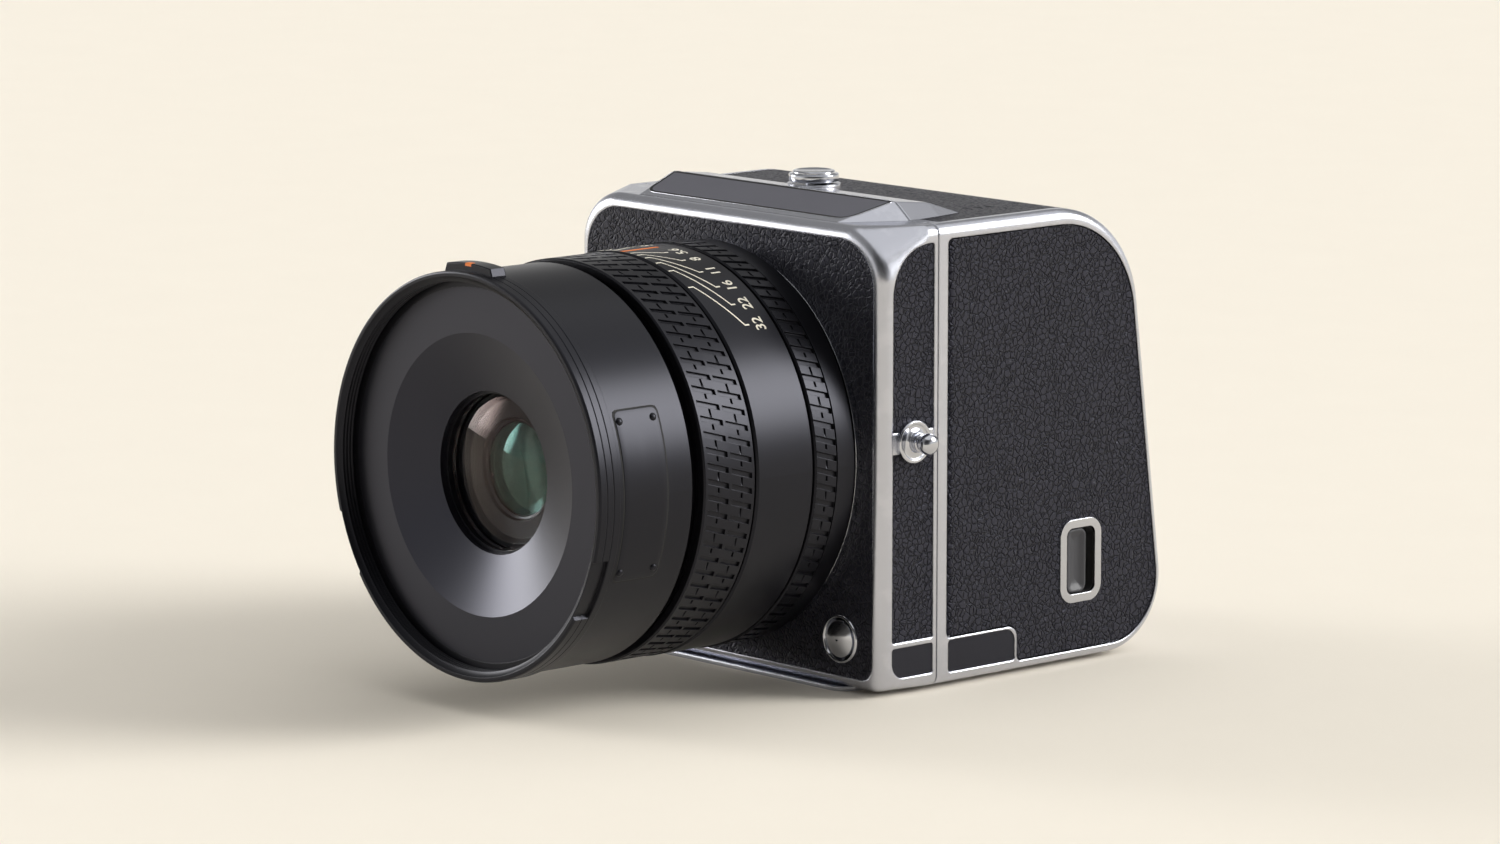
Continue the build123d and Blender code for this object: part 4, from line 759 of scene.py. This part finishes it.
def rounded(corners, radii, grow, steps=9):
    """Closed loop of a polygon whose corners are rounded, moved out by grow. Each arc's middle
    lies on the corner's bisector, at its radius / sin(half the angle) from the corner."""
    arcs = []
    neighbours = zip(corners, np.roll(corners, 1, 0), np.roll(corners, -1, 0), radii)
    for corner, before, after, radius in neighbours:
        sides = np.array([before - corner, after - corner])
        sides /= np.linalg.norm(sides, axis=1)[:, None]
        half = np.arccos(sides[0] @ sides[1]) / 2
        bisector = sides.sum(0) / np.linalg.norm(sides.sum(0))
        middle = corner + bisector * radius / np.sin(half)
        ends = corner + sides * radius / np.tan(half) - middle
        first, last = np.arctan2(ends[:, 1], ends[:, 0])
        angles = first + np.linspace(0, (last - first + pi) % (2 * pi) - pi, steps)[:, None]
        arcs.append(middle + (radius + grow) * np.hstack([np.cos(angles), np.sin(angles)]))
    return np.concatenate(arcs)


def trim(name, profile):
    """Closed ring round the plate. Each corner (grow, lift) of its profile gives a loop that is
    moved out by grow and off the slope by lift, which runs along the slope's normal."""
    stretch = np.hypot(1, slope_rise)
    loops = []
    for grow, lift in np.array(profile) * MM:
        across, along = rounded(seat_corners, seat_radii, grow).T
        loops.append(np.stack([across, slope_y + (along - slope_rise * lift) / stretch,
                               slope_z + (along * slope_rise + lift) / stretch], axis=-1))
    return solid(name, [np.array(loops)])


# Painted shadow: a flat near black ring on the slope round the plate, for the shade in the gap.
gap_inner, gap_outer = -0.06, 0.5
plate_gap_shadow = trim("plate_gap_shadow", [(gap_inner, -0.1), (gap_inner, 0.02), (gap_outer, 0.02),
                                   (gap_outer, -0.1)])
place_piece(plate_gap_shadow, shadow_black, "front_body", "label_grey")
plate_lip = trim("plate_lip", [(gap_outer, -0.1), (gap_outer, 0.05), (0.62, 0.07),
                               (0.72, -0.12)])
place_piece(plate_lip, polished_chrome, "front_body", "polished_chrome")


# Strap lugs. Turned and polished steel, screwed into the sides: a rimmed flange, a collar, a
# waist for the strap's eye and a rounded head.

side_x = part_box("front_housing")[1][0]
lug_low, lug_high = np.array(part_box("strap_lugs"))
lug_middle = (lug_low + lug_high) / 2
lug_profile = [(0.0, 5.5), (0.8, 5.45), (1.35, 5.25), (1.75, 4.9), (1.97, 4.45), (2.02, 4.0),
               (1.98, 3.4), (1.85, 3.05), (1.65, 2.9), (1.3, 2.8), (1.3, 2.55), (1.6, 2.45), (1.8, 2.3),
               (1.85, 2.0), (1.85, 1.1), (1.95, 0.75), (2.4, 0.45), (3.0, 0.35), (3.2, 0.4), (3.35, 0.6),
               (3.6, 0.68), (3.9, 0.62), (4.06, 0.45), (4.1, 0.2), (4.1, -1.0), (0.0, -1.0)]
lugs = []
for side in (1, -1):
    foot = (side * side_x, lug_middle[1], lug_middle[2])
    lugs.append(lathe(np.array(lug_profile) * MM, foot, (0, 1, 0), (0, 0, 1), (side, 0, 0), 64))
lug_pins = solid("lug_pins", lugs, close_columns=False)
place_piece(lug_pins, polished_chrome, "front_body", "polished_chrome", "strap_lugs")


# Ring round the lens release. Turned brass, chromed. A short cone opens from the button to a
# narrow rounded lip.

ring_low, ring_high = np.array(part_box("release_bezel"))
ring_middle = (ring_low + ring_high) / 2
ring_run = -ring_low[1] / MM
ring_back = -ring_high[1] / MM
cone_profile = [(3.58, ring_back), (3.58, ring_run - 1.1), (3.7, ring_run - 0.95), (4.12, ring_run - 0.1),
                (4.2, ring_run), (4.35, ring_run), (4.52, ring_run - 0.08), (4.65, ring_run - 0.3),
                (4.65, ring_back)]
cone_middle = (ring_middle[0], 0.0, ring_middle[2])
cone_ring = solid("release_cone", [lathe(np.array(cone_profile) * MM, cone_middle,
                                         (1, 0, 0), (0, 0, 1), (0, -1, 0), 72)])
place_piece(cone_ring, polished_chrome, "front_body", "polished_chrome", "release_bezel")


# Release on top. A turned cap with a raised disc, on a neck that slides in its slot, chromed
# like the other bright parts.

knob_low, knob_high = np.array(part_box("release_slider"))
knob_drop = (knob_low[2] - knob_high[2]) / MM
knob_profile = [(0.0, -0.12), (3.2, -0.12), (3.4, -0.02), (3.65, 0.0), (3.95, -0.08), (4.1, -0.3),
                (4.1, -0.5), (4.3, -0.6), (4.6, -0.62), (4.76, -0.72), (4.82, -0.95), (4.82, -1.85),
                (4.74, -2.05), (4.55, -2.1), (1.6, -2.1), (1.6, knob_drop), (0.0, knob_drop)]
knob_middle = ((knob_low[0] + knob_high[0]) / 2, (knob_low[1] + knob_high[1]) / 2, knob_high[2])
knob_points = lathe(np.array(knob_profile) * MM, knob_middle, (1, 0, 0), (0, 1, 0), (0, 0, 1), 96)
knob = solid("release_knob", [knob_points], close_columns=False)
place_piece(knob, polished_chrome, "release_slider", "polished_chrome", "release_slider")


# Latch of the big door. A shallow well behind the bright rim, its walls lined near black as
# painted shade, and in it a dished slide, painted dark grey.

bezel_low, bezel_high = np.array(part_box("latch_bezel"))
bezel_middle = (bezel_low + bezel_high) / 2


def side_loop(loop, x):
    """A loop of (u, v) set up on the side: u runs to the rear and v up, at a distance x."""
    ys, zs = (bezel_middle[1:] + loop).T
    return np.stack([np.full(len(loop), x), ys, zs], axis=1)


# Painted shade: a near black lining round the walls of the well, where the recess lies in shade.
well_half = (3.83 * MM, 6.38 * MM, 2.1 * MM)
well_loops = [side_loop(outline(*well_half, inset), x) for inset, x in
              ((0.0, bezel_high[0] - 0.35 * MM), (0.13 * MM, bezel_high[0] - 0.3 * MM),
               (0.13 * MM, bezel_low[0] + 0.1 * MM), (0.0, bezel_low[0] + 0.1 * MM))]
latch_well_shade = solid("latch_well_shade", [np.array(well_loops)])
place_piece(latch_well_shade, shadow_black, "battery_door", "polished_chrome")

slide_low, slide_high = np.array(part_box("latch_slider"))
slide_half = (slide_high - slide_low) / 2
slide_shift = (slide_low + slide_high) / 2 - bezel_middle
slide_round = 1.5 * MM
slide_drop = (slide_low[0] - slide_high[0]) / MM
slide_profile = [(0.0, slide_drop), (0.0, -0.2), (0.08, -0.05), (0.25, 0.0), (0.5, -0.05), (1.1, -0.4),
                 (1.9, -0.6), (2.5, -0.65)]
slide_loops = []
for inset, sink in np.array(slide_profile) * MM:
    loop = outline(slide_half[1], slide_half[2], slide_round, inset) + slide_shift[1:]
    slide_loops.append(side_loop(loop, slide_high[0] + sink))
latch_slide = solid("latch_slide", [np.array(slide_loops)], close_rows=False)
latch_paint = moulded("latch_paint", paint(46, 47, 52), paint(58, 59, 65), 0.4, 2600.0, 0.008 * MM)
place_piece(latch_slide, latch_paint, "latch", "latch_grey", "latch_slider")


# Glass. Coated elements, each with its own tint in the light that it throws back: a warm one in
# front, and behind it a smaller green one in a stepped black ring.

def coated_glass(name, mirror_tint, strength, bending):
    """Clear glass with the tinted reflection of its coating, thicker in some places."""
    material, root, place = begin(name)
    coat = noise(root, place, 30.0, 1.0)
    end(material, root, {
        "Base Color": coat.blend(paint(238, 241, 240), paint(228, 231, 230)),
        "Roughness": 0.0,
        "IOR": bending,
        "Transmission Weight": 1.0,
        "Specular Tint": mirror_tint,
        "Specular IOR Level": strength,
    })
    return material


dress(coated_glass("warm_coating", paint(255, 190, 176), 0.4, 1.2), "front_glass")
green_coating = coated_glass("green_coating", paint(104, 226, 214), 0.9, 1.5)
dress(green_coating, "inner_glass")

axis_middle = (0.0, 0.0, axis_z)
lens_frame = ((1, 0, 0), (0, 0, 1), (0, -1, 0))
out = -leather_y / MM


def bulge(rim_radius, rim_run, rise, steps=10):
    """Corners of a curved face from the axis to its rim: run = rim + rise (1 - (r / R) squared)."""
    radii = np.linspace(0, rim_radius, steps)
    return list(zip(radii, rim_run + rise * (1 - (radii / rim_radius) ** 2)))


second_radius = 8.6
second_profile = bulge(second_radius, out + 51.2, 1.9) + bulge(second_radius, out + 50.2, 0.6)[::-1]
second_points = lathe(np.array(second_profile) * MM, axis_middle, *lens_frame, 96)
second_glass = solid("second_glass", [second_points], close_columns=False)
place_piece(second_glass, green_coating, "lens", "lens_glass")
ring_profile = [(14.5, out + 53.2), (14.5, out + 49.8), (8.7, out + 49.8), (8.7, out + 51.4),
                (9.2, out + 51.6), (9.5, out + 52.1), (12.6, out + 52.5), (13.5, out + 53.2)]
cell_ring = solid("cell_ring", [lathe(np.array(ring_profile) * MM, axis_middle, *lens_frame, 96)])
place_piece(cell_ring, lens_black, "lens", "lens_black")


# Stage. A plain pale floor that runs on past the picture, a wide soft lamp overhead, and a
# room that is palest near the horizon and dark on the camera's side. Two bright screens stand
# in it, behind on the right and in front on the left, for the barrel and the bright frames.

cream_floor, root, place = begin("cream_floor")
grit = noise(root, place, 40.0, 2.0)
diffuse = root.node("BsdfDiffuse", {}, {"Color": grit.blend(paint(244, 237, 224), paint(246, 239, 226))})
root.node("OutputMaterial", {}, {"Surface": diffuse})

floor_half = 14.0
floor_mesh = bpy.data.meshes.new("floor")
floor_corners = [(-floor_half, -floor_half, 0), (floor_half, -floor_half, 0),
                 (floor_half, floor_half, 0), (-floor_half, floor_half, 0)]
floor_mesh.from_pydata(floor_corners, [], [(0, 1, 2, 3)])
floor = bpy.data.objects.new("floor", floor_mesh)
bpy.context.scene.collection.objects.link(floor)
floor_mesh.materials.append(cream_floor)

world = bpy.data.worlds.new("studio")
bpy.context.scene.world = world
world.use_nodes = True
world.node_tree.nodes.clear()
root = Wire(world.node_tree)
way = root.node("TexCoord", {}, {}, "Generated")


def screen(direction, inner_deg, outer_deg):
    """1 for rays within the inner angle of a direction, fading to 0 at the outer angle."""
    along = np.array(direction) / np.linalg.norm(direction)
    share = root.node("VectorMath", {"operation": "DOT_PRODUCT"}, {0: way, 1: along.tolist()}, "Value")
    return share.between(cos(radians(outer_deg)), cos(radians(inner_deg)))


height = root.node("SeparateXYZ", {}, {"Vector": way}, "Z")
horizon = 1.0 - height.between(0.1, 0.4)
near_camera = screen((0.72, -0.68, 0.16), 20.0, 62.0)
right_screen = screen((0.62, 0.66, 0.42), 5.0, 20.0)
left_screen = screen((-0.89, -0.42, 0.2), 4.0, 17.0)
ceiling_glow, horizon_glow, camera_shade, right_glow, left_glow = 0.3, 0.55, 0.85, 14.0, 12.0
glow = (ceiling_glow + horizon * horizon_glow) * (1.0 - near_camera * camera_shade)
glow = glow + right_screen * right_glow + left_screen * left_glow
room = root.node("Background", {}, {"Color": (1.0, 0.99, 0.97, 1.0), "Strength": glow})
root.node("OutputWorld", {}, {"Surface": room})

key = bpy.data.lights.new("key", "SUN")
key.energy = 0.85
key.angle = radians(84)
holder = bpy.data.objects.new("key", key)
bpy.context.scene.collection.objects.link(holder)
holder.rotation_euler = (radians(-10), radians(9), 0)


# Camera, at the place that the photograph was taken from. It was solved from the edges of the
# body and the circles of the lens.

camera_place = np.array([895.66, -823.47, 247.21]) * MM
camera_turn = radians(47.47)
camera_rise = radians(9.36)
camera_roll = radians(-0.04)
lens_mm = 155.18
lens = bpy.data.cameras.new("camera")
lens.lens = lens_mm
lens.sensor_width = 36.0
lens.clip_start = 0.05
holder = bpy.data.objects.new("camera", lens)
bpy.context.scene.collection.objects.link(holder)
holder.location = camera_place
holder.rotation_euler = (pi / 2 - camera_rise, camera_roll, camera_turn)
bpy.context.scene.camera = holder
bpy.context.scene.view_settings.view_transform = "Standard"
